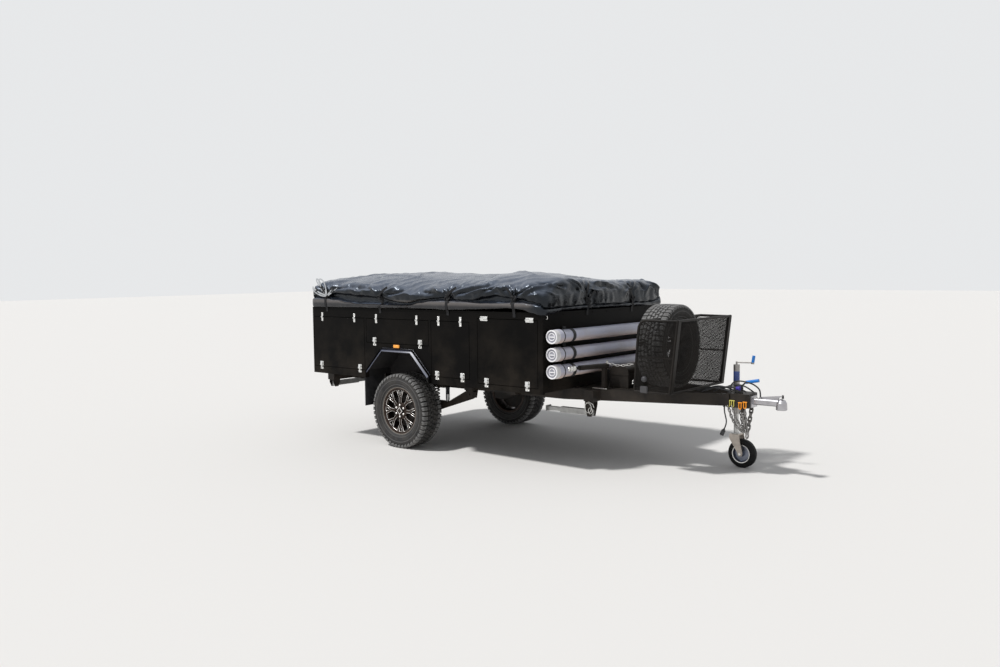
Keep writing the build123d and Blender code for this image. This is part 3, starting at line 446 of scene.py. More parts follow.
def metal(name, shade, rough, brushed=(1, 1, 1), grain=260, depth=0.00012, dirt=0.25):
    """Bare or plated metal with drawn grain and dull patches."""
    made = Finish(name, Metallic=1.0)
    lines = made.noise(grain, 3, 0.6, made.stretched(*brushed))
    dull = (made.noise(16, 5, 0.6) * 1.6 - 0.5).kept() * dirt
    colour = made.mixed(dull, shade, tuple(0.35 * c for c in shade))
    return made.surface(Base_Color=colour, Roughness=rough + 0.12 * lines + 0.5 * dull,
                        Normal=made.bump(lines, 0.3, depth))


zinc = metal("zinc_plate", (0.56, 0.56, 0.55), 0.30, dirt=0.5)
spring_paint = painted("spring_paint", (0.014, 0.014, 0.014), 0.32, 0.7)
springs = []
for side in (-1, 1):
    coil = []
    x, y = spring_place
    steps = int(spring_turns * 26)
    low, high = spring_foot + spring_wire / 2, spring_head - spring_wire / 2
    for step in range(steps + 1):
        share = step / steps
        eased = share - 0.055 * math.sin(2 * math.pi * share)
        angle = 2 * math.pi * spring_turns * share
        coil.append((x + spring_radius * math.cos(angle), side * y + spring_radius * math.sin(angle),
                     low + (high - low) * eased))
    springs.append(smooth(bars("coil", [coil], spring_wire / 2, 10, spring_paint)))
    boot = [(0.0, spring_head), (0.0215, spring_head), (0.0215, spring_head - 0.010)]
    for fold in range(6):
        low = spring_head - 0.016 - 0.009 * fold
        boot += [(0.0170, low), (0.0215, low - 0.0045)]
    boot += [(0.0165, spring_head - 0.072), (0.0, spring_head - 0.072)]
    body = [(0.0, spring_foot), (0.014, spring_foot), (0.0145, spring_foot + 0.012),
            (0.0200, spring_foot + 0.014), (0.0200, spring_head - 0.066),
            (0.0160, spring_head - 0.062), (0.0, spring_head - 0.062)]
    at = (damper_place[0], side * damper_place[1], 0)
    springs.append(turned_piece("boot", hose_rubber, boot, 24, "Z", at))
    springs.append(turned_piece("damper", zinc, body, 24, "Z", at))
dress(joined("springs_and_dampers", springs), "trailer", ("spring_units",))


# Road wheels: an all-terrain tyre on a dark bronze alloy rim with eight split spokes, held by
# six nuts to the brake drum. The tread is moulded in rows of blocks that repeat round it.
wheel_y = 0.845
wheel_radius = 0.3685
tread_depth = 0.010
tread_pitches = 48
axle_z = wheel_radius
spare_place = (2.460, 0.0, 1.060)
spare_turn = Matrix.Rotation(-math.pi / 2, 4, "Z")
left_turn = Matrix()
right_turn = Matrix.Rotation(math.pi, 4, "Z")
origin = (from_axle, 0, 0)


def ring_tree():
    """Copies of a piece round the Y axis: how many, where they begin, and their finish."""
    tree, given = new_tree("ring_of_copies", "Ring", Piece="Geometry", Copies="Int", Start="Float",
                           Finish="Material")
    add, join = tree.nodes.new, tree.links.new
    points, number = add("GeometryNodePoints"), add("GeometryNodeInputIndex")
    share, angle, begin = add("ShaderNodeMath"), add("ShaderNodeMath"), add("ShaderNodeMath")
    share.operation, angle.operation, begin.operation = "DIVIDE", "MULTIPLY", "ADD"
    angle.inputs[1].default_value = 2 * math.pi
    spin, turn = add("ShaderNodeCombineXYZ"), add("FunctionNodeEulerToRotation")
    place = add("GeometryNodeInstanceOnPoints")
    join(given["Copies"], points.inputs["Count"])
    join(number.outputs["Index"], share.inputs[0])
    join(given["Copies"], share.inputs[1])
    join(share.outputs[0], angle.inputs[0])
    join(angle.outputs[0], begin.inputs[0])
    join(given["Start"], begin.inputs[1])
    join(begin.outputs[0], spin.inputs["Y"])
    join(spin.outputs[0], turn.inputs["Euler"])
    join(points.outputs[0], place.inputs["Points"])
    join(given["Piece"], place.inputs["Instance"])
    join(turn.outputs["Rotation"], place.inputs["Rotation"])
    return end_tree(tree, given, place.outputs["Instances"])


ring_of_copies = ring_tree()


def crown(y):
    """Outer radius of the tread at a distance from the tyre's middle."""
    return wheel_radius - 0.0035 * (abs(y) / 0.110) ** 2.2


def bridged(mesh, rows, ends=(0, -1)):
    """Walls between rows of as many points each, closed at the rows that are named as ends."""
    for here, ahead in zip(rows, rows[1:]):
        for n in range(len(here)):
            after = (n + 1) % len(here)
            mesh.faces.new((here[n], here[after], ahead[after], ahead[n]))
    for end in ends:
        mesh.faces.new(rows[end])


def block(mesh, outline, radius, depth, draft=0.0016):
    """A tread block: its outline is given as place round the tyre and across it."""
    middle = (sum(s for s, y in outline) / len(outline), sum(y for s, y in outline) / len(outline))
    loops = []
    for level, grow in ((depth, 1.0), (0.0012, 0.0), (0.0, -0.5)):
        loop = []
        for s, y in outline:
            away = Vector((s - middle[0], y - middle[1]))
            away = away * (1 + draft * (grow * 2 - 1) / max(away.length, 1e-6))
            s, y = middle[0] + away.x, middle[1] + away.y
            at = radius(y) - level
            loop.append(mesh.verts.new((at * math.cos(s / wheel_radius), y,
                                        at * math.sin(s / wheel_radius))))
        loops.append(loop)
    bridged(mesh, loops, ends=(-1,))


def tyre_rubber(name, low, high):
    """Tyre rubber, worn grey by the road, with dust that the tyre has picked up."""
    made = Finish(name, Specular_IOR_Level=0.30)
    dust = (made.noise(11, 6, 0.7) * 1.9 - 0.72).kept()
    shade = made.mixed(made.noise(26, 5, 0.65), low, high)
    colour = made.mixed(dust * 0.45, shade, (0.17, 0.155, 0.135))
    grain = made.noise(700, 3, 0.6)
    return made.surface(Base_Color=colour, Roughness=0.60 + 0.25 * dust,
                        Normal=made.bump(grain, 0.25, 0.0005))


# Painted light on the tread: the shoulder blocks are light grey, partly road wear and partly a painted
# sunlit top, and the centre rows are dark as painted shade.
wall_rubber = tyre_rubber("tyre_wall", (0.017, 0.017, 0.018), (0.036, 0.035, 0.035))
blocks_worn_and_painted_light = tyre_rubber("tyre_blocks_worn_and_painted_light", (0.110, 0.110, 0.112), (0.260, 0.256, 0.250))
centre_blocks_painted_shade = tyre_rubber("tyre_centre_painted_shade", (0.024, 0.024, 0.025), (0.052, 0.051, 0.050))
rib_rubber = tyre_rubber("tyre_ribs", (0.060, 0.060, 0.062), (0.120, 0.118, 0.116))
# Painted shade: the floors of the grooves are near black.
grooves_painted_shade = tyre_rubber("tyre_grooves_painted_shade", (0.007, 0.007, 0.007), (0.015, 0.015, 0.015))
pitch = 2 * math.pi * wheel_radius / tread_pitches
# Half of the casing from the bead to the middle of the tread: radius, distance from the middle
wall_outline = [
    (0.2183, 0.0982), (0.2330, 0.0984), (0.2345, 0.1050), (0.2362, 0.1086), (0.2400, 0.1104),
    (0.2425, 0.1088), (0.2450, 0.1098), (0.2555, 0.1160), (0.2575, 0.1188), (0.2610, 0.1196),
    (0.2630, 0.1180), (0.2760, 0.1224), (0.2880, 0.1248), (0.2900, 0.1232), (0.3030, 0.1242),
    (0.3050, 0.1264), (0.3090, 0.1266), (0.3110, 0.1244), (0.3200, 0.1236), (0.3340, 0.1206),
    (0.3440, 0.1160), (0.3530, 0.1080),
]
# The moulded ribs round each side, which the road has rubbed grey
raised_ribs = [(0.2340, 0.2425), (0.2565, 0.2635), (0.3030, 0.3112)]
groove_outline = [(0.3530, 0.1080), (0.3560, 0.0940), (0.3585, 0.0500), (0.3590, 0.0)]
# Blocks of one pitch: shift, then the outline as (place in half pitches, distance across)
tread_blocks = [
    (0.50, [(-0.86, 0.0037), (-0.30, 0.0027), (-0.05, 0.0080), (0.62, 0.0064), (0.90, 0.0171),
            (0.55, 0.0304), (-0.30, 0.0320), (-0.62, 0.0256)]),
    (-0.15, [(-0.80, 0.0374), (0.10, 0.0358), (0.30, 0.0411), (0.85, 0.0395), (0.72, 0.0566),
             (0.30, 0.0662), (-0.55, 0.0684), (-0.90, 0.0513)]),
    (0.0, [(-0.86, 0.0737), (-0.16, 0.0721), (-0.12, 0.0940), (-0.16, 0.1116), (-0.86, 0.1116),
           (-0.91, 0.0940)]),
    (0.0, [(-0.06, 0.0737), (0.50, 0.0721), (0.54, 0.0940), (0.50, 0.1156), (-0.06, 0.1156),
           (-0.11, 0.0940)]),
]
# Lugs down the shoulder: where each begins and ends along the pitch, and how far it reaches
shoulder_lugs = [(-0.86, -0.16, 0.032), (-0.06, 0.50, 0.026)]


def shoulder_lug(mesh, side, begin, end, low):
    """A lug that runs from the tread's edge over the shoulder and down the sidewall."""
    section = [(wheel_radius - 0.0042, 0.1105), (wheel_radius - 0.0062, 0.1184),
               (wheel_radius - low * 0.55, 0.1244), (wheel_radius - low, 0.1256),
               (wheel_radius - low - 0.002, 0.1190), (wheel_radius - 0.019, 0.1050)]
    rows = []
    for place in (begin, end):
        angle = place * pitch / 2 / wheel_radius
        rows.append([mesh.verts.new((r * math.cos(angle), side * y, r * math.sin(angle)))
                     for r, y in section])
    bridged(mesh, rows)


def tyre_piece(name, place, turn, body, stands_for, middle_finish, wall_finish):
    """One tyre: the turned casing with its sidewall ribs, and rings of tread blocks."""
    inside = [(0.2183, -0.0850), (0.2480, -0.1010), (0.3000, -0.1100), (0.3380, -0.0990),
              (0.3450, 0.0), (0.3380, 0.0990), (0.3000, 0.1100), (0.2480, 0.1010),
              (0.2183, 0.0850)]
    outline = wall_outline + groove_outline[1:]
    casing = outline + [(r, -y) for r, y in reversed(outline[:-1])] + inside
    shell = turned_piece("casing", wall_finish, casing, 120, place=origin, angle=28)
    shell.data.materials.append(grooves_painted_shade)
    shell.data.materials.append(rib_rubber)
    for face in shell.data.polygons:
        x, y, z = face.center
        out = math.hypot(x, z)
        # Groove floors and the inside take the painted shade, the raised ribs their worn grey.
        if out > 0.3535 and abs(y) < 0.109 or out > 0.334:
            face.material_index = 1
        elif abs(y) > 0.105 and any(low < out < high for low, high in raised_ribs):
            face.material_index = 2
    parts = [shell]
    for shapes, lugs, finish in ((tread_blocks[:2], [], middle_finish),
                                 (tread_blocks[2:], shoulder_lugs, blocks_worn_and_painted_light)):
        rows = bmesh.new()
        for side in (-1, 1):
            for shift, shape in shapes:
                along = [((s + side * shift) * pitch / 2, side * y) for s, y in shape]
                block(rows, along, crown, tread_depth + 0.001)
            for begin, end, low in lugs:
                shoulder_lug(rows, side, begin, end, low)
        tread = piece_of(rows, "tread", finish, origin, angle=0)
        parts.append(grown(tread, ring_of_copies, Copies=tread_pitches, Start=0.0, Finish=finish))
    tyre = joined(name, parts)
    x, y, z = place
    tyre.data.transform(Matrix.Translation((x - from_axle, y, z)) @ turn)
    return dress(tyre, body, stands_for)


tyre_piece("tyre_tread_left", (0, wheel_y, axle_z), left_turn, "wheel_left", ("tyre_left",),
           centre_blocks_painted_shade, wall_rubber)
tyre_piece("tyre_tread_right", (0, -wheel_y, axle_z), right_turn, "wheel_right",
           ("tyre_right",), centre_blocks_painted_shade, wall_rubber)
# The spare's rubber carries painted light: its sidewall is darker as painted shade for the cage it
# sits in, and its middle blocks are lighter as painted sunlight on their tops.
spare_wall_painted_shade = tyre_rubber("spare_wall_painted_shade", (0.009, 0.009, 0.009), (0.020, 0.019, 0.019))
spare_blocks_painted_light = tyre_rubber("spare_blocks_painted_light", (0.070, 0.070, 0.073), (0.300, 0.296, 0.290))
tyre_piece("tyre_tread_spare", spare_place, spare_turn, "trailer", ("spare_tyre",), spare_blocks_painted_light,
           spare_wall_painted_shade)


# Rims: cast alloy, painted dark bronze and then cut bright along the edges of the windows
# between the spokes; these bright edges also stand as painted highlights that the edges catch.
# Nuts, cap and cut edges are set on the solids. The spare's rim is black, a painted shade for
# the shade that it sits in; its real colour is a guess.
def bronze_alloy():
    """Dark bronze paint over cast alloy, with brake dust in patches."""
    made = Finish("bronze_alloy", Metallic=0.7)
    dust = (made.noise(24, 5, 0.65) * 1.7 - 0.55).kept()
    cast = made.mixed(made.noise(9, 4, 0.6), (0.022, 0.013, 0.010), (0.045, 0.029, 0.022))
    colour = made.mixed(dust * 0.5, cast, (0.050, 0.038, 0.030))
    return made.surface(Base_Color=colour, Roughness=0.32 + 0.3 * dust,
                        Normal=made.bump(made.noise(900, 2, 0.5), 0.12, 0.0003))


bronze = bronze_alloy()
# Bright cut alloy along the windows' edges: partly a machined edge, partly a painted highlight.
cut_alloy_and_highlight = metal("cut_alloy_and_highlight", (0.93, 0.91, 0.88), 0.24, grain=120, dirt=0.12)
lip_alloy = metal("lip_alloy", (0.36, 0.32, 0.28), 0.30, grain=120, dirt=0.4)
cap_black = metal("cap_black", (0.05, 0.05, 0.052), 0.35)
# Painted shade: the spare's rim, nuts and cap are painted black for the shade that they sit in.
spare_rim_painted_shade = painted("spare_rim_painted_shade", (0.010, 0.009, 0.009), 0.45, 0.4)
recoat(bronze, "rim_left", "rim_right")
recoat(spare_rim_painted_shade, "spare_rim")
spoke_count = 8
spoke_top = 0.090
window_radius = 0.2070


def spoke_point(x, z):
    """A place on the spokes' faces."""
    return (from_axle + x, spoke_top - 0.0008, z)


def round_part(radius, start, end, steps):
    """Points along an arc in degrees, in the plane of the spokes' faces."""
    found = []
    for step in range(steps + 1):
        angle = math.radians(start + (end - start) * step / steps)
        found.append(spoke_point(radius * math.cos(angle), radius * math.sin(angle)))
    return found


def rim_trim(name, place, turn, body, cut_and_highlight_finish, lip_finish):
    """Cut edges, nuts, centre cap and the outer lip's edge for one rim."""
    lip = [(0.2280, 0.1035), (0.2335, 0.1035), (0.2338, 0.1052), (0.2325, 0.1062),
           (0.2300, 0.1060), (0.2282, 0.1050)]
    parts = [turned_piece("lip", lip_finish, lip, 96, place=origin)]
    step = 360 / spoke_count
    c, s = math.cos(math.radians(step)), math.sin(math.radians(step))
    x, z = 0.1628, 0.0293
    scallop = [spoke_point(x, z)] + round_part(window_radius, 12.4, step - 12.4, 5)
    scallop.append(spoke_point(x * c + z * s, x * s - z * c))
    inner = round_part(window_radius, 6.6, -6.6, 3)
    inner = [spoke_point(0.172, 0.0114)] + inner + [spoke_point(0.172, -0.0114)]
    cut = bars("cut_edges", [scallop, inner], 0.0036, 6, cut_and_highlight_finish)
    parts.append(grown(cut, ring_of_copies, Copies=spoke_count, Start=0.0, Finish=cut_and_highlight_finish))
    edges = [[spoke_point(0.084, side * 0.0140), spoke_point(0.124, side * 0.0128),
              spoke_point(x, side * z)] for side in (-1, 1)]
    edges.append([spoke_point(0.172, 0.0114), spoke_point(0.146, 0.0), spoke_point(0.172, -0.0114)])
    thin = bars("thin_edges", edges, 0.0015, 6, cut_and_highlight_finish)
    parts.append(grown(thin, ring_of_copies, Copies=spoke_count, Start=0.0, Finish=cut_and_highlight_finish))
    face = spoke_top - 0.004
    nut = [(0.0, face + 0.001), (0.0108, face + 0.001), (0.0108, face + 0.013),
           (0.0075, face + 0.0165), (0.0, face + 0.0170)]
    held = turned_piece("nut", cut_and_highlight_finish, nut, 6, place=(from_axle + 0.0570, 0, 0), angle=25)
    parts.append(grown(held, ring_of_copies, Copies=6, Start=0.52, Finish=cut_and_highlight_finish))
    ring = [(0.0290, face + 0.0150), (0.0370, face + 0.0080), (0.0400, face + 0.0080),
            (0.0395, face + 0.0165), (0.0350, face + 0.0180), (0.0295, face + 0.0175)]
    parts.append(turned_piece("cap_ring", cut_and_highlight_finish, ring, 4, place=origin, angle=25))
    cap = [(0.0, face + 0.006), (0.0365, face + 0.006), (0.0365, face + 0.0135),
           (0.0290, face + 0.0172), (0.0140, face + 0.0165), (0.0, face + 0.0170)]
    parts.append(turned_piece("cap", cap_black, cap, 48, place=origin))
    valve = [(0.0, 0.0), (0.0035, 0.0), (0.0035, 0.018), (0.0045, 0.019), (0.0045, 0.030),
             (0.0030, 0.033), (0.0, 0.033)]
    lean = Matrix.Translation((0.187, 0.052, 0.062)) @ Matrix.Rotation(0.35, 4, "Z")
    parts.append(turned_piece("valve", hose_rubber, valve, 10, place=origin, turn=lean))
    trim = joined(name, parts)
    x, y, z = place
    trim.data.transform(Matrix.Translation((x - from_axle, y, z)) @ turn)
    return dress(trim, body)


rim_trim("rim_trim_left", (0, wheel_y, axle_z), left_turn, "wheel_left", cut_alloy_and_highlight, lip_alloy)
rim_trim("rim_trim_right", (0, -wheel_y, axle_z), right_turn, "wheel_right", cut_alloy_and_highlight,
         lip_alloy)
rim_trim("rim_trim_spare", spare_place, spare_turn, "trailer", spare_rim_painted_shade, spare_rim_painted_shade)
drum_iron = metal("drum_iron", (0.10, 0.09, 0.085), 0.55, dirt=0.6)
recoat(drum_iron, "hub_left", "hub_right")


# Splash shields: pressed steel plates behind the brake drums, coated like the chassis and held
# to the stub axles, so that they stay still while the wheels turn.
shields = []
for side in (-1, 1):
    inner_y, outer_y = side * (wheel_y - 0.0123), side * (wheel_y - 0.0103)
    shield = [(0.036, inner_y), (0.184, inner_y), (0.186, outer_y + side * 0.004),
              (0.183, outer_y + side * 0.004), (0.181, outer_y), (0.036, outer_y)]
    shields.append(turned_piece("shield", frame_enamel, shield, 64, place=(0, 0, axle_z)))
dress(joined("splash_shields", shields), "trailer")


# Body box: steel panels folded and screwed to a frame, powder coated black outside, with
# coated floor, tubs, bulkheads and deck inside. Hinge leaves on the walls are stainless.
body_rear, body_front = -1.258, 1.807
body_half, body_top = 0.987, 1.376
arch_middle = 0.026
proud_by = 0.0003


def panel_coat(name, shade, gloss, steel_where=None):
    """The body's black coat; where a mask is given, the solid's proud parts are stainless."""
    made = Finish(name, IOR=1.45, Specular_IOR_Level=0.06)
    height = made.axis("Z")
    dust = (made.noise(2.6, 6, 0.66) * 1.5 - 0.62).kept() * (1.45 - height).kept() * 0.55
    streaks = made.noise(9, 4, 0.6, made.stretched(1, 1, 0.12))
    coat = made.mixed(streaks, shade, tuple(1.35 * c for c in shade))
    colour = made.mixed(dust.kept(), coat, (0.13, 0.105, 0.08))
    rough = gloss + 0.10 * streaks + 0.35 * dust
    peel = made.noise(560, 2, 0.5)
    links = {"Normal": made.bump(peel + 0.35 * made.noise(5, 2, 0.5), 0.10, 0.0006)}
    if steel_where:
        mask = steel_where(made)
        colour = made.mixed(mask, colour, (0.86, 0.86, 0.84))
        rough = rough * (1 - mask) + 0.27 * mask
        links["Metallic"] = mask
    return made.surface(Base_Color=colour, Roughness=rough, **links)


def proud_of_side(made):
    """What stands proud of a side: hinge leaves, latches and keepers."""
    return abs(made.axis("Y")) > body_half + proud_by


def leaves_on_wall(made):
    """The wall's hinge leaves and keepers: proud of its face, and clear of the arch lip."""
    lip_half, lip_top = 0.455, 1.0
    marker_half, marker_top = 0.285, 1.1
    from_arch = abs(made.axis("X") + (from_axle - arch_middle))
    height = made.axis("Z")
    off_marker = height.maths("MAXIMUM", from_arch > marker_half, height > marker_top)
    off_lip = height.maths("MAXIMUM", from_arch > lip_half, (height > lip_top) * off_marker)
    return proud_of_side(made) * off_lip


def proud_of_rear(made):
    """What stands proud of the rear, such as the tailgate's hinges and latches."""
    return made.axis("X") < body_rear - from_axle - proud_by


black_body = (0.0036, 0.0033, 0.0031)
body_coat = panel_coat("body_coat", black_body, 0.40)
wall_coat = panel_coat("wall_coat", black_body, 0.40, leaves_on_wall)
door_coat = panel_coat("door_coat", black_body, 0.38, proud_of_side)
rear_coat = panel_coat("rear_coat", black_body, 0.40, proud_of_rear)
inner_coat = painted("inner_coat", (0.020, 0.020, 0.021), 0.5, 0.3)
recoat(body_coat, "front_wall")
recoat(wall_coat, "side_wall_left", "side_wall_right")
recoat(inner_coat, "body_floor", "bulkheads", "wheel_tubs", "deck")
recoat(rear_coat, "rear_frame", "tailgate")


# Screws in the front wall's flanges and along the sills: small round steel heads, coated
# with the body.
def places_tree():
    """A copy of a piece at each point of another object, with one finish."""
    tree, given = new_tree("copies_at_points", "Copies", Piece="Geometry", Places="Object",
                           Turn="Vector", Finish="Material")
    add, join = tree.nodes.new, tree.links.new
    points, spin = add("GeometryNodeObjectInfo"), add("FunctionNodeEulerToRotation")
    place = add("GeometryNodeInstanceOnPoints")
    join(given["Places"], points.inputs["Object"])
    join(points.outputs["Geometry"], place.inputs["Points"])
    join(given["Piece"], place.inputs["Instance"])
    join(given["Turn"], spin.inputs["Euler"])
    join(spin.outputs["Rotation"], place.inputs["Rotation"])
    return end_tree(tree, given, place.outputs["Instances"])


copies_at_points = places_tree()


def copies(piece, places, finish, turn=(0, 0, 0)):
    """Repeat a piece, made at the origin, at places counted from the axle."""
    marks = bpy.data.meshes.new("places")
    marks.from_pydata([(x - from_axle, y, z) for x, y, z in places], [], [])
    marker = shown("places", marks)
    grown(piece, copies_at_points, Places=marker, Turn=turn, Finish=finish)
    bpy.data.objects.remove(marker)
    return piece


def round_head(size, high, sides=12):
    """A screw's head that stands towards +Y, with a socket in its middle."""
    profile = [(0.0, -0.0005), (size, -0.0005), (size, high * 0.45), (size * 0.72, high),
               (size * 0.40, high), (size * 0.36, high * 0.4), (0.0, high * 0.4)]
    return turned_piece("screw", stainless, profile, sides, place=origin)


stainless = metal("stainless", (0.84, 0.84, 0.82), 0.24, (1, 1, 8), dirt=0.25)
out_left, out_right, out_front = (0, 0, 0), (0, 0, math.pi), (0, 0, -math.pi / 2)
wall_screws = [(body_front, y / 100, z) for z in (0.725, 1.352) for y in range(-92, 93, 23)]
screws = [copies(round_head(0.0055, 0.0026), wall_screws, body_coat, out_front)]
for side, turn in ((1, out_left), (-1, out_right)):
    sill = [(x, side * body_half, 0.7015) for x in np.linspace(body_rear + 0.03, body_front - 0.03, 15)
            if abs(x - arch_middle) > 0.50]
    screws.append(copies(round_head(0.0050, 0.0024), sill, body_coat, turn))
dress(joined("body_screws", screws), "trailer")


# Side doors: flat coated panels, each on two stainless butt hinges along its top edge and
# drawn shut by two stainless toggle latches across its lower edge. The solids hold both.
# Their screws and hinge pins are set on them.
# Each door: rear and front end, bottom, top, width and leaf of its hinges, how far in they
# stand from both ends, and how far in each latch stands from the rear and from the front end
side_doors = [
    ("rear", -1.240, -0.450, 0.753, 1.272, 0.026, 0.036, 0.142, 0.118, 0.070),
    ("arch", -0.415, 0.452, 1.036, 1.272, 0.026, 0.036, 0.150, 0.121, 0.108),
    ("fore", 0.492, 0.968, 0.753, 1.272, 0.026, 0.036, 0.100, 0.073, 0.083),
    ("front", 1.073, 1.750, 0.728, 1.309, 0.084, 0.012, 0.080, 0.102, 0.110),
]
door_gap = 0.005
hinge_out = 0.0075
rod_black = painted("rod_black", (0.006, 0.006, 0.006), 0.4, 0.2)


def small_screws(places, turn):
    """Steel screws of the hinges and latches."""
    return copies(round_head(0.0036, 0.0016, 10), places, stainless, turn)


def eased_box(size, ease, segments, place=(0, 0, 0)):
    """A working mesh of a box with rounded edges."""
    mesh = bmesh.new()
    bmesh.ops.create_cube(mesh, size=1.0, matrix=Matrix.Translation(place)
                          @ Matrix.Diagonal((*size, 1)))
    bmesh.ops.bevel(mesh, geom=mesh.edges, offset=ease, segments=segments, affect="EDGES")
    return mesh


def latch_details(places, turn, side):
    """Screws of the latches' plates and keepers, and a black strip under each lever as painted
    shade for the gap there.
    """
    marks = []
    for x, y, z in places:
        marks += [(x + along, y + side * 0.003, z + up) for along in (-0.020, 0.020)
                  for up in (0.009, 0.045)]
    # Painted shade: a black strip stands where the gap under the lever lies in shade.
    slot = piece_of(eased_box((0.0440, 0.0030, 0.0060), 0.0008, 1, (0, 0.0042, 0.030)), "slot",
                    rod_black, origin)
    return [small_screws(marks, turn), copies(slot, places, rod_black, turn)]


for side, word, turn in ((1, "left", out_left), (-1, "right", out_right)):
    wall_marks = []
    pins = []
    for name, rear, front, bottom, top, wide, leaf, hinge_in, rear_in, front_in in side_doors:
        axis_z = top + door_gap / 2
        door_marks = []
        for x in (rear + hinge_in, front - hinge_in):
            mid = 0.008 + leaf / 2
            spots = ((-0.007, 0.011), (0.007, -0.011), (-0.007, -0.011), (0.007, 0.011))
            if wide > 0.05:
                spots = ((-0.030, 0.0), (0.0, 0.0), (0.030, 0.0))
            for along, up in spots:
                door_marks.append((x + along, side * (body_half + 0.004), axis_z - mid + up))
                wall_marks.append((x + along, side * (body_half + 0.004), axis_z + mid + up))
            pins.append([(x - wide / 2 - 0.002, side * (body_half + hinge_out), axis_z),
                         (x + wide / 2 + 0.002, side * (body_half + hinge_out), axis_z)])
        latches = [(x, side * body_half, bottom) for x in (rear + rear_in, front - front_in)]
        wall_marks += [(x + along, side * (body_half + 0.003), bottom - 0.024)
                       for x, y, z in latches for along in (-0.016, 0.016)]
        parts = latch_details(latches, turn, side) + [small_screws(door_marks, turn)]
        dress(joined(f"door_{name}_fittings_{word}", parts), f"door_{name}_{word}")
        recoat(door_coat, f"door_{name}_{word}")
    parts = [small_screws(wall_marks, turn), bars("pins", pins, 0.0025, 8, stainless)]
    dress(joined(f"wall_hinge_fittings_{word}", parts), "trailer")


# Lamps: an amber marker above each wheel arch, and on the rear frame two tail lamps with an
# amber outer end. Each lens is clear coloured plastic, ribbed inside, in a thin black rim.
def lens_plastic_painted_glow():
    """Coloured lens: amber on the sides and at the tail lamps' outer ends, else red, with a faint
    painted glow of its own colour, though the lamps are not lit.
    """
    # Painted glow: the lens gives off a faint light of its own colour.
    made = Finish("lens_plastic_painted_glow", IOR=1.49, Roughness=0.14, Coat_Roughness=0.06,
                  Emission_Strength=0.25)
    on_side = made.axis("X") > -1.9
    outer = abs(made.axis("Y")) > 0.852
    amber = on_side.maths("MAXIMUM", on_side, outer)
    cells = made.noise(70, 2, 0.5) * 0.25
    lens = made.mixed(amber, (0.42, 0.012, 0.010), (1.0, 0.40, 0.035))
    phase = made.axis("Z") * 900
    ribs = phase.maths("SINE", phase)
    return made.surface(Base_Color=made.mixed(cells, lens, (0.30, 0.05, 0.01)),
                        Coat_Weight=0.5 + 0.2 * cells, Emission_Color=lens,
                        Normal=made.bump(ribs, 0.35, 0.0008))


lens = lens_plastic_painted_glow()
round_corners = ((-1, -1), (1, -1), (1, 1), (-1, 1), (-1, -1))
lamp_boxes = []
rims = []
for side in (-1, 1):
    marker, tail = (0.021, side * 0.9925, 1.010), (-1.2690, side * 0.820, 0.850)
    for centre, size in ((marker, (0.080, 0.013, 0.030)), (tail, (0.022, 0.150, 0.080))):
        lamp_boxes.append(piece_of(eased_box(size, 0.0035, 3), "lens", lens, centre))
    rims.append([(marker[0] + 0.041 * a, side * 0.9875, marker[2] + 0.016 * b)
                 for a, b in round_corners])
    rims.append([(-1.2595, tail[1] + 0.077 * a, tail[2] + 0.042 * b) for a, b in round_corners])
dress(joined("lamp_lenses", lamp_boxes), "trailer", ("lamps",))
dress(bars("lamp_rims", rims, 0.0028, 8, rod_black), "trailer")


# Flares of the wheel arches: a steel strip under each arch lip, bent outwards, whose face is
# painted a pale blue-grey as a painted sky reflection, so that it shows as a pale band.
def arch_strip_sky_reflection_finish():
    """Painted sky reflection: a pale blue-grey, uneven in spots, under a clear coat."""
    made = Finish("arch_strip_sky_reflection", IOR=1.5, Specular_IOR_Level=0.7, Coat_Weight=0.6,
                  Coat_Roughness=0.2)
    wear_and_painted_light = made.noise(30, 4, 0.6)
    return made.surface(Base_Color=made.mixed(wear_and_painted_light, (0.065, 0.072, 0.108), (0.120, 0.130, 0.182)),
                        Roughness=0.28 + 0.2 * wear_and_painted_light, Normal=made.bump(wear_and_painted_light, 0.1, 0.0004))


arch_strip_sky_reflection = arch_strip_sky_reflection_finish()
arch_line = [(arch_middle + along, z) for along, z in
             ((-0.446, 0.7551), (-0.214, 0.988), (0.214, 0.988), (0.446, 0.7551))]


def strip_along(points, section):
    """A strip that follows a line in the side's plane, its section drawn as out and across."""
    mesh = bmesh.new()
    ways = [Vector((b[0] - a[0], b[1] - a[1])).normalized() for a, b in zip(points, points[1:])]
    rows = []
    for n, (x, z) in enumerate(points):
        before, after = ways[max(n - 1, 0)], ways[min(n, len(ways) - 1)]
        out = (Vector((-before.y, before.x)) + Vector((-after.y, after.x))).normalized()
        out = out / out.dot(Vector((-after.y, after.x)))
        rows.append([mesh.verts.new((x + out.x * away, y, z + out.y * away))
                     for away, y in section])
    bridged(mesh, rows)
    return mesh


strips = []
for side in (-1, 1):
    section = [(0.0010, side * 0.9875), (-0.0015, side * 0.9875), (-0.0335, side * 1.0115),
               (-0.0310, side * 1.0135)]
    strips.append(piece_of(strip_along(arch_line, section), "strip", arch_strip_sky_reflection, angle=30))
dress(joined("arch_edge_strips", strips), "trailer")


# Pole tubes: three drainpipes of pale grey plastic across the front wall, for tent poles. Both
# ends have a wider socket and a white screw cap, whose finger grip lies in a recess.
tube_x = 1.877
tube_heights = (1.172, 1.019, 0.872)


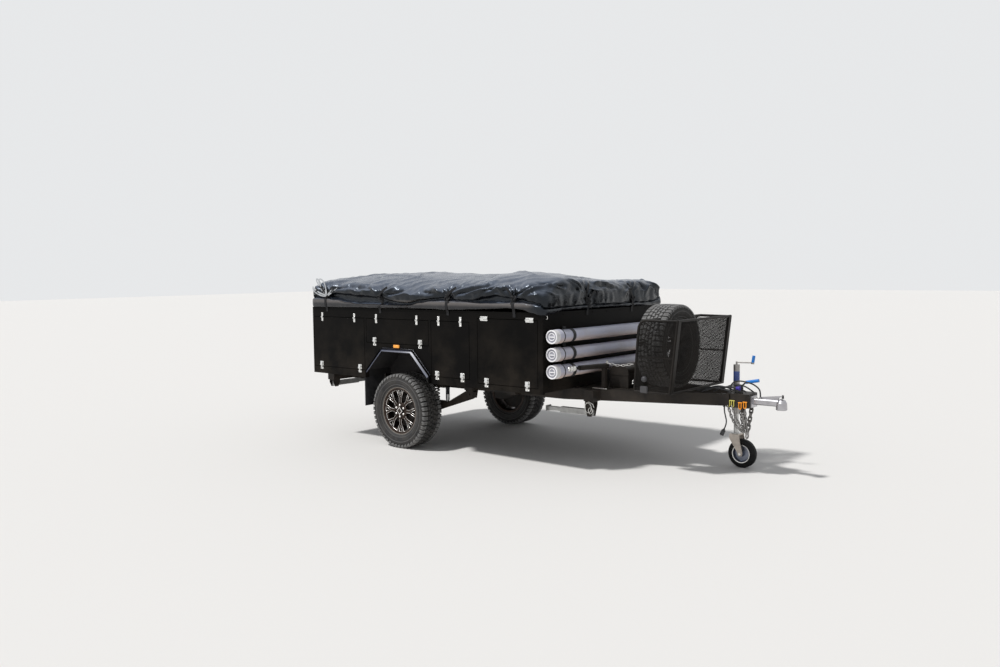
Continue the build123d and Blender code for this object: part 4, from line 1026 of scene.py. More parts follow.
def pipe_plastic():
    """Pale plastic pipe: lilac grey, with a painted warm bounce light under each tube, whiter caps,
    scuffed and a little dusty.
    """
    made = Finish("pipe_plastic", IOR=1.48)
    cap = abs(made.axis("Y")) > 0.899
    along = made.noise(30, 5, 0.6, made.stretched(1, 0.12, 1))
    dust = (made.noise(5, 5, 0.65) * 1.8 - 0.75).kept()
    pipe = made.mixed(along, (0.52, 0.53, 0.66), (0.62, 0.63, 0.74))
    # Painted reflected light: a warm tan on the lower side of each tube stands in for light bounced up
    # from the ground.
    under = 0
    for z in tube_heights:
        below = ((made.axis("Z") * -1 + z) * 22).kept()
        under = below * (made.axis("Z") > z - 0.070) + under
    pipe = made.mixed(under * 0.75, pipe, (0.66, 0.49, 0.38))
    shade = made.mixed(cap, pipe, (0.80, 0.79, 0.80))
    colour = made.mixed(dust * 0.5, shade, (0.40, 0.33, 0.26))
    return made.surface(Base_Color=colour, Roughness=0.30 + 0.25 * dust + 0.08 * along,
                        Normal=made.bump(along, 0.12, 0.0004))


pipe = pipe_plastic()
recoat(pipe, "pole_tubes")
recoat(hose_rubber, "tube_straps")
cap_white = painted("cap_white", (0.78, 0.77, 0.78), 0.3, 0.15)
cap_grey = painted("cap_grey", (0.30, 0.30, 0.34), 0.4, 0.25)
seal_black = rubber_finish("seal_black", (0.0025, 0.0025, 0.0025), 500)
cap_parts = []
seals = []
for side in (-1, 1):
    face, floor = side * 0.957, side * 0.948
    disc = [(0.0, floor - side * 0.0006), (0.0482, floor - side * 0.0006),
            (0.0482, floor + side * 0.0012), (0.0, floor + side * 0.0012)]
    raised = [(0.0270, floor), (0.0270, floor + side * 0.0050), (0.0285, floor + side * 0.0062),
              (0.0315, floor + side * 0.0062), (0.0330, floor + side * 0.0050), (0.0330, floor)]
    rim = [(0.0488, face - side * 0.003), (0.0488, face - side * 0.0002),
           (0.0510, face + side * 0.0018), (0.0562, face + side * 0.0018),
           (0.0592, face - side * 0.0012), (0.0592, face - side * 0.004)]
    for z in tube_heights:
        place = (tube_x, 0, z)
        cap_parts.append(turned_piece("disc", cap_grey, disc, 64, place=place, angle=30))
        cap_parts.append(turned_piece("raised_ring", cap_white, raised, 64, place=place))
        cap_parts.append(turned_piece("rim", cap_white, rim, 64, place=place))
        grip = eased_box((0.052, 0.007, 0.008), 0.0016, 2, (0, floor + side * 0.003, 0))
        cap_parts.append(piece_of(grip, "grip", cap_white, place))
        for at, radius in ((0.8400, 0.0622), (0.8330, 0.0560)):
            seal = [(radius - 0.004, side * (at - 0.0065)), (radius + 0.0006, side * (at - 0.006)),
                    (radius + 0.0014, side * at), (radius + 0.0006, side * (at + 0.006)),
                    (radius - 0.004, side * (at + 0.0065))]
            seals.append(turned_piece("seal", seal_black, seal, 64, place=place))
dress(joined("tube_cap_ends", cap_parts), "trailer")
dress(joined("tube_seals", seals), "trailer")


# Cage round the spare wheel and the store behind it: a frame of black square tube with sides
# and front of fine woven steel mesh, which is nearly closed when seen from a little way off.
cage_side = [(2.4015, 0.7025), (2.7390, 0.7025), (2.8125, 1.3075), (2.5180, 1.3075),
             (2.4880, 1.3010), (2.4650, 1.2840), (2.4510, 1.2600), (2.4440, 1.2320)]
cage_half = 0.4875
side_pitch, front_pitch_across, front_pitch_up = 0.0060, 0.0075, 0.0080
woven_apart = 0.0022
cage_black = painted("cage_black", (0.0085, 0.0075, 0.0068), 0.42, 0.35)
mesh_black = painted("mesh_black", (0.0050, 0.0043, 0.0038), 0.60, 0.30)


def chords(outline, pitch, across):
    """Where lines of one pitch cross an outline: two ends for every line."""
    found = []
    low = min(point[across] for point in outline)
    high = max(point[across] for point in outline)
    place = low + pitch
    while place < high - pitch / 2:
        ends = []
        for start, end in zip(outline, outline[1:] + outline[:1]):
            a, b = start[across], end[across]
            if (a - place) * (b - place) < 0:
                share = (place - a) / (b - a)
                ends.append(start[1 - across] + (end[1 - across] - start[1 - across]) * share)
        if len(ends) >= 2:
            found.append((place, min(ends), max(ends)))
        place += pitch
    return found


def beam(start, end, across, wide, deep):
    """A flat bar between two places, as wide as said along one direction."""
    start, end = Vector(start), Vector(end)
    long = (end - start).normalized()
    side = (Vector(across) - long * long.dot(Vector(across))).normalized()
    frame_of = Matrix((long, side, long.cross(side))).transposed().to_4x4()
    mesh = eased_box(((end - start).length, wide, deep), min(wide, deep) * 0.2, 2)
    return piece_of(mesh, "beam", cage_black, tuple((start + end) / 2), frame_of)


tubes = []
for y in (-cage_half, cage_half):
    loop = [(x, y, z) for x, z in cage_side]
    tubes.append(loop + loop[:1])
for x, z in cage_side[:4] + [(2.4340, 1.1100)]:
    tubes.append([(x, -cage_half, z), (x, cage_half, z)])
cage_frame = smooth(bars("cage_frame", tubes, 0.0115, 12, cage_black))
plates = []
for y in (-cage_half - 0.0005, cage_half + 0.0005):
    plates.append(beam((2.4500, y, 0.9950), (2.7700, y, 0.9950), (0, 0, 1), 0.014, 0.003))
for y in (-0.4660, 0.4610):
    plates.append(beam((2.7390, y, 0.7000), (2.8135, y, 1.3120), (0, 1, 0), 0.056, 0.024))
wires = []
far_wires = []
for side, coarser, lines in ((-1, 1.0, wires), (1, 1.8, far_wires)):
    y, outer = side * cage_half, side * (cage_half + woven_apart)
    for x, low, high in chords(cage_side, side_pitch * coarser, 0):
        lines.append([(x, y, low), (x, y, high)])
    for z, low, high in chords(cage_side, side_pitch * coarser, 1):
        lines.append([(low, outer, z), (high, outer, z)])
net = bars("cage_net", wires, 0.00160, 4, mesh_black)
far_net = bars("far_net", far_wires, 0.00165, 4, mesh_black)
front = []
front_foot, front_head = Vector((2.7390, 0, 0.7025)), Vector((2.8125, 0, 1.3075))
front_reach = (front_head - front_foot).length
for step in range(1, int(2 * cage_half / front_pitch_across)):
    y = -cage_half + step * front_pitch_across
    front.append([(front_foot.x, y, front_foot.z), (front_head.x, y, front_head.z)])
for step in range(1, int(front_reach / front_pitch_up)):
    at = front_foot.lerp(front_head, step * front_pitch_up / front_reach)
    front.append([(at.x + woven_apart, y, at.z) for y in (-cage_half, cage_half)])
front_net = bars("front_net", front, 0.00135, 4, mesh_black)
cage_parts = [cage_frame, net, far_net, front_net] + plates
dress(joined("spare_cage", cage_parts), "trailer", ("mesh_cage",))


# A small grey light fitting on the cage's near side: a moulded base with a round cap above
# it, and two bolts of the cage's hinge beside it.
fitting_grey = painted("fitting_grey", (0.060, 0.060, 0.064), 0.35, 0.3)
light_base = eased_box((0.072, 0.020, 0.060), 0.006, 3, (2.503, -0.500, 0.724))
dome = [(0.0, -0.485), (0.024, -0.485), (0.0255, -0.500), (0.021, -0.510), (0.012, -0.5155),
        (0.0, -0.517)]
hinge_bolt = [(0.0, -0.498), (0.006, -0.498), (0.006, -0.504), (0.004, -0.506), (0.0, -0.506)]
light_parts = [piece_of(light_base, "base", fitting_grey),
               turned_piece("dome", fitting_grey, dome, 32, place=(2.503, 0, 0.812))]
for x, z in ((2.3960, 0.790), (2.3955, 0.770)):
    light_parts.append(turned_piece("bolt", stainless, hinge_bolt, 12, place=(x, 0, z)))
dress(joined("cage_light", light_parts), "trailer")


# Deck between the drawbar's rails: a black coated steel plate, laid on both rails, that the
# locker and the gear stay stand on. It is partly painted shade: a dark sheet that fills the
# view between the rails where shade falls; whether the real trailer has such a deck is a guess.
plate = bmesh.new()
corners = [(1.8085, -0.5440), (2.3850, -0.3450), (2.3850, 0.3450), (1.8085, 0.5440)]
bridged(plate, [[plate.verts.new((x, y, z)) for x, y in corners] for z in (0.6905, 0.6940)])
dress(piece_of(plate, "drawbar_deck_plate", frame_enamel), "trailer")


# Gear stay and locker ahead of the front wall: a black tube on a post, which ends in a zinc
# screw with its rings and knob, and a black moulded locker. A short chain runs to the cage.
recoat(frame_enamel, "gear_stay", "drawbar_locker")
bright = metal("bright_zinc", (0.82, 0.81, 0.78), 0.26, dirt=0.25)
tip, head = Vector((1.976, -0.755, 0.895)), Vector((2.082, -0.411, 0.895))
lie = (tip - head).normalized().to_track_quat("Y", "Z").to_matrix().to_4x4()
stay_parts = []
for along, size in ((0.004, 1.25), (0.020, 1.45), (0.040, 1.1), (0.062, 1.5)):
    ring = [(0.0, -0.007), (0.0145 * size, -0.007), (0.0172 * size, -0.003),
            (0.0172 * size, 0.003), (0.0145 * size, 0.007), (0.0, 0.007)]
    stay_parts.append(turned_piece("ring", bright, ring, 24, place=tip - Vector((0, along, 0)),
                                   turn=lie))
knob = [(0.0, -0.012), (0.014, -0.012), (0.020, -0.006), (0.0215, 0.0), (0.020, 0.006),
        (0.014, 0.012), (0.0, 0.012)]
stay_parts.append(turned_piece("knob", bright, knob, 24, place=tip - Vector((0, 0.090, 0)), turn=lie))
screw = [[tuple(tip), tuple(tip - Vector((0, 0.085, 0)))]]
stay_parts.append(smooth(bars("screw", screw, 0.011, 12, bright)))


def oval_link(middle, half_long, half_wide):
    """One chain link as a closed line, from its middle and its two half sizes."""
    turns = [2 * math.pi * step / 16 for step in range(17)]
    return [tuple(middle + half_long * math.cos(angle) + half_wide * math.sin(angle))
            for angle in turns]


links = []
chain_start, chain_end = Vector((2.110, -0.450, 0.922)), Vector((2.388, -0.484, 0.935))
link_count = 9
for n in range(link_count):
    share = (n + 0.5) / link_count
    middle = chain_start.lerp(chain_end, share) - Vector((0, 0, 0.018 * math.sin(math.pi * share)))
    across = Vector((0, 0, 0.0085)) if n % 2 else Vector((0, 0.0085, 0))
    links.append(oval_link(middle, (chain_end - chain_start).normalized() * 0.019, across))
stay_parts.append(smooth(bars("stay_chain", links, 0.0026, 8, bright)))
bolt = [(0.0, 0.0), (0.013, 0.0), (0.013, 0.009), (0.009, 0.012), (0.009, 0.026), (0.0, 0.027)]
stay_parts.append(turned_piece("bolt", bright, bolt, 6, "Z", (2.084, -0.420, 0.9165), angle=25))
flange = [[(1.972, -0.478, 0.697), (2.118, -0.478, 0.697)]]
stay_parts.append(smooth(bars("stay_flange", flange, 0.0055, 10, bright)))
dress(joined("gear_stay_fittings", stay_parts), "trailer")


# Nose of the drawbar: a cast coupling with its lever and bolts, a hand brake lever with a blue
# grip, two zinc plated safety chains, and black wiring that runs to a purple socket.
coupling_cast = metal("coupling_cast", (0.52, 0.51, 0.53), 0.22, grain=34, depth=0.0030, dirt=0.55)
recoat(coupling_cast, "coupling")


def brake_finish():
    """Zinc plated lever and bracket, with a blue plastic grip on the lever's end."""
    made = Finish("brake_lever_finish")
    grip = made.axis("X") > 3.190 - from_axle
    plate = made.mixed(made.noise(18, 5, 0.6), (0.060, 0.060, 0.062), (0.11, 0.11, 0.11))
    return made.surface(Base_Color=made.mixed(grip, plate, (0.010, 0.200, 0.640)),
                        Metallic=(1 - grip) * 0.7, Roughness=0.34 + 0.1 * made.noise(60, 3),
                        Normal=made.bump(made.noise(220, 3), 0.2, 0.0003))


recoat(brake_finish(), "brake_lever")
chain_zinc = metal("chain_zinc", (0.34, 0.33, 0.32), 0.38, dirt=0.6)
recoat(chain_zinc, "safety_chains")
stub = [(0.0, 0.0), (0.009, 0.0), (0.0075, 0.020), (0.0085, 0.026), (0.0, 0.030)]
nose_parts = [turned_piece("stub", rod_black, stub, 16, "Z", (3.506, 0.0, 0.672))]
bolt_head = [(0.0, 0.0), (0.010, 0.0), (0.010, 0.007), (0.006, 0.009), (0.0, 0.009)]
for x in (3.275, 3.305):
    for y in (-0.020, 0.020):
        nose_parts.append(turned_piece("head", bright, bolt_head, 6, "Z", (x, y, 0.6565), angle=25))
socket = [(0.0, 0.0), (0.014, 0.0), (0.016, 0.005), (0.016, 0.024), (0.020, 0.026),
          (0.020, 0.033), (0.012, 0.035), (0.0, 0.035)]
socket_purple = painted("socket_purple", (0.060, 0.040, 0.300), 0.35, 0.2)
nose_parts.append(turned_piece("socket", socket_purple, socket, 24, "X", (3.128, -0.060, 0.738)))
wiring = []
for n, (start, end) in enumerate((((2.86, -0.150, 0.696), (3.128, -0.060, 0.738)),
                                  ((2.80, -0.130, 0.698), (3.080, -0.078, 0.706)),
                                  ((2.84, -0.060, 0.698), (3.100, -0.040, 0.712)),
                                  ((2.94, -0.100, 0.698), (3.200, -0.030, 0.704)),
                                  ((2.94, 0.060, 0.698), (3.240, 0.030, 0.700)))):
    line = []
    for step in range(13):
        share = step / 12
        at = Vector(start).lerp(Vector(end), share)
        at.z += 0.024 * math.sin(math.pi * share) * (1 + 0.3 * n)
        at.y += 0.012 * math.sin(5 * share + n)
        line.append(tuple(at))
    wiring.append(line)
nose_parts.append(smooth(bars("nose_wiring", wiring, 0.0062, 8, hose_rubber)))
dress(joined("nose_fittings", nose_parts), "trailer")


# Shackles under the nose, four on each side: bent from bar, with a screwed pin, and painted
# orange in front and yellow behind.
shackles = []
shackle_orange = painted("shackle_orange", (0.85, 0.30, 0.020), 0.35, 0.2)
shackle_yellow = painted("shackle_yellow", (0.55, 0.50, 0.12), 0.4, 0.4)
shackle_places = [(3.186, 0.574, shackle_orange), (3.228, 0.582, shackle_orange),
                  (3.083, 0.586, shackle_yellow), (3.120, 0.586, shackle_yellow)]
for side in (-1, 1):
    for x, z, finish in shackle_places:
        y = side * 0.1105
        bow = [(x - 0.0095, y, z + 0.052), (x - 0.0105, y, z + 0.022)]
        for step in range(9):
            angle = math.pi * step / 8
            bow.append((x - 0.0105 * math.cos(angle), y, z + 0.012 - 0.014 * math.sin(angle)))
        bow += [(x + 0.0105, y, z + 0.022), (x + 0.0095, y, z + 0.052)]
        shackles.append(smooth(bars("bow", [bow], 0.0040, 10, finish)))
        pin = [[(x - 0.017, y, z + 0.050), (x + 0.018, y, z + 0.050)]]
        shackles.append(smooth(bars("pin", pin, 0.0046, 10, finish)))
dress(joined("chain_shackles", shackles), "trailer")


# Loose ends of the safety chains: welded links that hang in loops from the yellow shackles.
def chain_links(points, size):
    """Links of round bar along a line of points, each turned a quarter to the last."""
    line = [Vector(point) for point in points]
    found = []
    left_over = 0.0
    count = 0
    for start, end in zip(line, line[1:]):
        way = (end - start).normalized()
        reach = (end - start).length
        at = left_over
        while at < reach:
            middle = start + way * at
            sideways = way.cross(Vector((0, 1, 0))).normalized()
            across = sideways if count % 2 else way.cross(sideways)
            found.append(oval_link(middle, way * size * 0.78, across * size * 0.42))
            at += size
            count += 1
        left_over = at - reach
    return found


loose_links = []
for side in (-1, 1):
    for x in (3.083, 3.120):
        loose_links += chain_links([(x, side * 0.110, 0.578), (x + 0.020, side * 0.090, 0.490),
                                    (x + 0.050, side * 0.055, 0.410), (3.172, side * 0.020, 0.365)],
                                   0.026)
dress(smooth(bars("loose_chain_ends", loose_links, 0.0038, 8, chain_zinc)), "trailer")


# Jockey wheel: a zinc plated tube in a clamp on the drawbar, wound up and down by a crank with
# a blue grip. Its inner leg carries a fork with a solid black tyre on a pressed rim.
def jockey_zinc():
    """Zinc plate with a dark blue clamp sleeve on the tube and a blue grip on the crank."""
    made = Finish("jockey_zinc")
    height, forward = made.axis("Z"), made.axis("X")
    sleeve = (height > 0.758) * (height < 0.842) * (forward < 3.030 - from_axle)
    grip = (height > 0.925) * (forward > 3.126 - from_axle)
    blue = sleeve.maths("MAXIMUM", sleeve, grip)
    dull = made.noise(14, 5, 0.6)
    plate = made.mixed(dull, (0.42, 0.40, 0.38), (0.26, 0.25, 0.24))
    paint = made.mixed(grip, (0.060, 0.100, 0.300), (0.012, 0.200, 0.640))
    return made.surface(Base_Color=made.mixed(blue, plate, paint), Metallic=(1 - blue) * 0.9,
                        Roughness=0.32 + 0.2 * dull, Normal=made.bump(made.noise(200, 3), 0.2, 0.0003))


recoat(jockey_zinc(), "jockey_mount")
recoat(zinc, "jockey_leg")
recoat(frame_enamel, "leg_brackets")
fork_zinc = metal("fork_zinc", (0.50, 0.45, 0.40), 0.38, dirt=0.5)
recoat(fork_zinc, "jockey_fork")
rim_zinc = metal("rim_zinc", (0.26, 0.28, 0.34), 0.28, dirt=0.3)
recoat(rim_zinc, "jockey_rim")
jockey_rubber = rubber_finish("jockey_rubber", (0.0035, 0.0035, 0.0035), 400, 0.2)
recoat(jockey_rubber, "jockey_tyre")
jockey_axle = (3.045, 0.250, 0.125)
jockey_parts = []
for side in (-1, 1):
    axle_nut = [(0.0, side * 0.056), (0.013, side * 0.056), (0.013, side * 0.066),
                (0.008, side * 0.069), (0.0, side * 0.069)]
    jockey_parts.append(turned_piece("axle_nut", bright, axle_nut, 6, place=jockey_axle, angle=25))
dress(joined("jockey_axle_nuts", jockey_parts), "jockey_fork")
edge = bmesh.new()
for side in (-1, 1):
    turned(edge, [(0.0745, side * 0.0352), (0.0775, side * 0.0360), (0.0805, side * 0.0364),
                  (0.0815, side * 0.0350), (0.0780, side * 0.0340)], 64)
dress(piece_of(edge, "jockey_rim_edge", bright, jockey_axle), "jockey_wheel")


# Corner legs: square zinc plated tube with an inner tube and a foot plate, folded up flat
# under the chassis. A wire loop with a spring clip holds each front leg's pin.
leg_zinc = metal("leg_zinc", (0.42, 0.42, 0.41), 0.34, dirt=0.6)
recoat(leg_zinc, "leg_front_left", "leg_front_right", "leg_rear_left", "leg_rear_right")
for side, word in ((-1, "right"), (1, "left")):
    loops = []
    for radius, shift in ((0.034, 0.0), (0.021, 0.024)):
        loop = []
        for step in range(25):
            angle = 2 * math.pi * step / 24
            loop.append((1.998 + shift + radius * math.cos(angle), side * 0.592,
                         0.535 - shift + 1.25 * radius * math.sin(angle)))
        loops.append(loop)
    loops.append([(1.975, side * 0.592, 0.576), (2.010, side * 0.594, 0.588),
                  (2.048, side * 0.592, 0.570), (2.060, side * 0.590, 0.540)])
    clip = smooth(bars(f"leg_clip_{word}", loops, 0.0030, 8, bright))
    dress(clip, "trailer")


# The storm cover: one sheet of black coated cloth over the folded tent and its mattress. Its hem
# is rolled round the body's top edge, and webbing ties draw it in above that roll, so that it
# bulges between the ties and creases run away from every knot.
corner_round = 0.055
steps_along, steps_across, steps_corner = 236, 150, 16
spine_inset = 0.62
# The room that the cloth keeps to: along, across and up
cover_room = ((-1.288, 1.838), (-1.019, 1.019), (1.300, 1.7415))

# Along the near side: place from the axle, hem's lower edge, lip of the roll, underside of
# the bulge above it, and how far the bulge stands out
near_side = np.array([
    (-1.26, 1.379, 1.466, 1.500, 0.012), (-1.15, 1.378, 1.470, 1.512, 0.014),
    (-1.02, 1.378, 1.468, 1.508, 0.000), (-0.87, 1.379, 1.452, 1.528, 0.018),
    (-0.70, 1.381, 1.430, 1.520, 0.021), (-0.54, 1.381, 1.418, 1.506, 0.021),
    (-0.36, 1.382, 1.417, 1.500, 0.018), (-0.20, 1.382, 1.416, 1.492, 0.000),
    (-0.05, 1.383, 1.413, 1.462, 0.020), (0.08, 1.385, 1.410, 1.448, 0.024),
    (0.20, 1.387, 1.414, 1.446, 0.024), (0.36, 1.387, 1.440, 1.470, 0.021),
    (0.51, 1.386, 1.458, 1.490, 0.014), (0.71, 1.381, 1.466, 1.502, 0.000),
    (0.84, 1.385, 1.460, 1.476, 0.014), (1.05, 1.393, 1.450, 1.480, 0.020),
    (1.16, 1.398, 1.448, 1.506, 0.018), (1.30, 1.404, 1.450, 1.526, 0.016),
    (1.42, 1.410, 1.456, 1.512, 0.010), (1.50, 1.408, 1.462, 1.490, 0.000),
    (1.60, 1.400, 1.458, 1.484, 0.012), (1.70, 1.372, 1.448, 1.470, 0.020),
    (1.81, 1.352, 1.430, 1.448, 0.022),
])
# Across the front from the near to the far side, with the same columns
front_side = np.array([
    (-0.99, 1.352, 1.410, 1.420, 0.023), (-0.88, 1.362, 1.408, 1.416, 0.023),
    (-0.74, 1.386, 1.412, 1.420, 0.021), (-0.55, 1.392, 1.414, 1.422, 0.018),
    (-0.32, 1.390, 1.418, 1.430, 0.002), (-0.12, 1.392, 1.414, 1.424, 0.016),
    (0.20, 1.388, 1.412, 1.420, 0.018), (0.44, 1.386, 1.416, 1.428, 0.001),
    (0.62, 1.380, 1.412, 1.420, 0.016), (0.80, 1.379, 1.416, 1.426, 0.018),
    (0.99, 1.384, 1.440, 1.454, 0.004),
])
# Height of the top: one row for each place across, one column for each place from the axle
top_across = (-0.95, -0.60, -0.25, 0.10, 0.50, 0.95)
top_along = (-1.26, -0.90, -0.45, 0.0, 0.45, 0.90, 1.25, 1.55, 1.82)
top_heights = (
    (1.652, 1.640, 1.640, 1.640, 1.628, 1.640, 1.668, 1.664, 1.628),
    (1.682, 1.690, 1.700, 1.708, 1.694, 1.694, 1.722, 1.714, 1.656),
    (1.694, 1.708, 1.724, 1.726, 1.700, 1.712, 1.724, 1.682, 1.640),
    (1.700, 1.720, 1.732, 1.708, 1.698, 1.726, 1.692, 1.646, 1.616),
    (1.692, 1.706, 1.708, 1.690, 1.708, 1.692, 1.646, 1.634, 1.634),
    (1.600, 1.622, 1.630, 1.634, 1.630, 1.620, 1.612, 1.636, 1.630),
)
# Folds: height, half width, and the line that the fold follows. Those of the sides are drawn
# as place along the side and height, those of the top as places seen from above. A fold below
# nothing is a sunk crease.
near_folds = [
    (0.017, 0.016, [(0.74, 1.520), (0.83, 1.546), (1.06, 1.601), (1.32, 1.652)]),
    (-0.015, 0.012, [(0.76, 1.510), (0.90, 1.538), (1.10, 1.580), (1.36, 1.626)]),
    (0.018, 0.015, [(0.80, 1.488), (0.90, 1.500), (1.09, 1.552), (1.34, 1.620)]),
    (-0.016, 0.012, [(0.86, 1.482), (1.02, 1.508), (1.20, 1.562), (1.40, 1.618)]),
    (0.019, 0.016, [(0.92, 1.482), (1.04, 1.494), (1.27, 1.560), (1.52, 1.622)]),
    (-0.013, 0.012, [(1.10, 1.510), (1.26, 1.542), (1.40, 1.566), (1.52, 1.596)]),
    (0.014, 0.015, [(0.73, 1.528), (0.84, 1.580), (1.02, 1.640)]),
    (-0.012, 0.012, [(0.72, 1.532), (0.80, 1.590), (0.92, 1.650)]),
    (0.012, 0.013, [(0.70, 1.530), (0.71, 1.590), (0.76, 1.640)]),
    (0.014, 0.016, [(0.68, 1.520), (0.56, 1.566), (0.42, 1.620)]),
    (-0.013, 0.014, [(0.67, 1.512), (0.50, 1.535), (0.30, 1.560)]),
    (0.012, 0.018, [(0.60, 1.500), (0.36, 1.500), (0.12, 1.505)]),
    (0.014, 0.015, [(-0.17, 1.512), (-0.06, 1.560), (0.08, 1.620)]),
    (-0.014, 0.013, [(-0.15, 1.503), (0.02, 1.530), (0.22, 1.570)]),
    (0.013, 0.016, [(-0.13, 1.497), (0.08, 1.502), (0.30, 1.520)]),
    (0.014, 0.014, [(-0.22, 1.515), (-0.30, 1.566), (-0.42, 1.622)]),
    (-0.012, 0.012, [(-0.24, 1.508), (-0.42, 1.540), (-0.62, 1.578)]),
    (0.013, 0.018, [(-0.30, 1.532), (-0.62, 1.550), (-0.92, 1.530)]),
    (-0.012, 0.022, [(-0.34, 1.572), (-0.66, 1.588), (-0.96, 1.560)]),
    (0.010, 0.022, [(-0.44, 1.610), (-0.74, 1.616), (-1.02, 1.586)]),
    (0.018, 0.012, [(-1.01, 1.530), (-1.06, 1.580), (-1.16, 1.640)]),
    (0.018, 0.011, [(-1.03, 1.522), (-1.12, 1.556), (-1.24, 1.600)]),
    (0.016, 0.011, [(-1.04, 1.515), (-1.14, 1.530), (-1.25, 1.550)]),
    (0.014, 0.012, [(-0.99, 1.526), (-0.92, 1.574), (-0.82, 1.620)]),
    (0.014, 0.012, [(-0.98, 1.518), (-0.86, 1.544), (-0.68, 1.566)]),
    (-0.012, 0.010, [(-1.00, 1.524), (-0.89, 1.560), (-0.74, 1.592)]),
    (-0.034, 0.014, [(1.51, 1.512), (1.59, 1.562), (1.70, 1.606), (1.80, 1.646)]),
    (0.028, 0.014, [(1.54, 1.500), (1.66, 1.552), (1.76, 1.596), (1.83, 1.620)]),
    (0.015, 0.014, [(1.46, 1.505), (1.36, 1.560), (1.24, 1.630)]),
    (-0.013, 0.012, [(1.47, 1.502), (1.33, 1.540), (1.16, 1.600)]),
    (0.013, 0.012, [(1.53, 1.492), (1.66, 1.510), (1.80, 1.535)]),
    (-0.012, 0.011, [(1.52, 1.482), (1.68, 1.486), (1.81, 1.500)]),
    (0.010, 0.010, [(1.58, 1.440), (1.70, 1.410), (1.80, 1.372)]),
]
front_folds = [
    (-0.030, 0.012, [(-1.01, 1.650), (-0.92, 1.634), (-0.82, 1.614), (-0.72, 1.598), (-0.60, 1.594)]),
    (0.026, 0.012, [(-1.01, 1.622), (-0.85, 1.612), (-0.75, 1.590), (-0.64, 1.572)]),
    (0.015, 0.012, [(-0.58, 1.650), (-0.50, 1.594), (-0.43, 1.525)]),
    (-0.013, 0.011, [(-0.54, 1.655), (-0.45, 1.596), (-0.39, 1.530)]),
    (0.012, 0.011, [(-0.50, 1.650), (-0.41, 1.600), (-0.35, 1.550)]),
    (0.010, 0.009, [(-0.87, 1.522), (-0.77, 1.484)]),
    (0.012, 0.010, [(-0.94, 1.560), (-0.84, 1.520), (-0.74, 1.502)]),
    (0.018, 0.014, [(-0.16, 1.616), (-0.05, 1.620), (0.07, 1.594), (0.19, 1.582)]),
    (-0.014, 0.012, [(-0.14, 1.590), (0.00, 1.586), (0.10, 1.566), (0.22, 1.556)]),
    (0.012, 0.010, [(-0.02, 1.505), (-0.08, 1.484), (-0.18, 1.433)]),
    (0.012, 0.010, [(0.05, 1.510), (-0.01, 1.484), (-0.11, 1.430)]),
    (0.012, 0.010, [(0.13, 1.500), (0.07, 1.476), (-0.02, 1.426)]),
    (0.013, 0.012, [(-0.28, 1.570), (-0.20, 1.545), (-0.06, 1.530)]),
    (-0.016, 0.012, [(0.60, 1.620), (0.64, 1.560), (0.67, 1.500)]),
    (0.018, 0.013, [(0.65, 1.500), (0.71, 1.550), (0.77, 1.600)]),
    (0.014, 0.012, [(0.47, 1.480), (0.62, 1.440), (0.78, 1.424)]),
    (-0.012, 0.011, [(0.48, 1.500), (0.66, 1.470), (0.86, 1.450)]),
    (0.013, 0.012, [(0.40, 1.560), (0.30, 1.520), (0.20, 1.500)]),
    (0.020, 0.016, [(0.84, 1.590), (0.90, 1.560), (0.97, 1.520)]),
    (-0.018, 0.012, [(0.80, 1.570), (0.88, 1.520), (0.95, 1.470)]),
]
top_folds = [
    (0.010, 0.034, [(1.50, -0.70), (1.16, -0.46), (0.80, -0.12)]),
    (-0.009, 0.036, [(1.05, -0.78), (0.86, -0.46), (0.70, 0.02)]),
    (0.009, 0.034, [(0.30, -0.80), (-0.30, -0.60), (-0.90, -0.66)]),
    (0.008, 0.030, [(0.10, -0.74), (-0.20, -0.34), (-0.24, 0.20)]),
    (-0.008, 0.034, [(-0.50, -0.76), (-0.70, -0.34), (-0.66, 0.30)]),
    (0.008, 0.030, [(-0.95, -0.76), (-0.90, -0.24), (-1.00, 0.40)]),
    (0.010, 0.022, [(1.70, -0.50), (1.56, -0.10), (1.50, 0.30)]),
    (-0.010, 0.020, [(1.76, -0.20), (1.66, 0.12), (1.62, 0.46)]),
]
# The far side repeats the near side end for end: the place that answers to the axle's, and
# how much it is drawn together
far_shift, far_scale = 0.42, 0.93
# Ties: place on the body's edge, from the axle and across
knot_height = 1.495
ties = [(x, -body_half) for x in (-1.02, -0.20, 0.71, 1.50)]
ties += [(x, body_half) for x in (-1.05, -0.12, 0.66, 1.46)]
ties += [(body_front, -0.32), (body_front, 0.44), (body_rear, -0.42), (body_rear, 0.50)]


def edge_runs():
    """For each step round the body: which run it is on, and how far along it."""
    found = []
    for run in range(8):
        count = (steps_along, steps_corner, steps_across, steps_corner)[run % 4]
        found += [(run, step / count) for step in range(count)]
    return np.array(found)


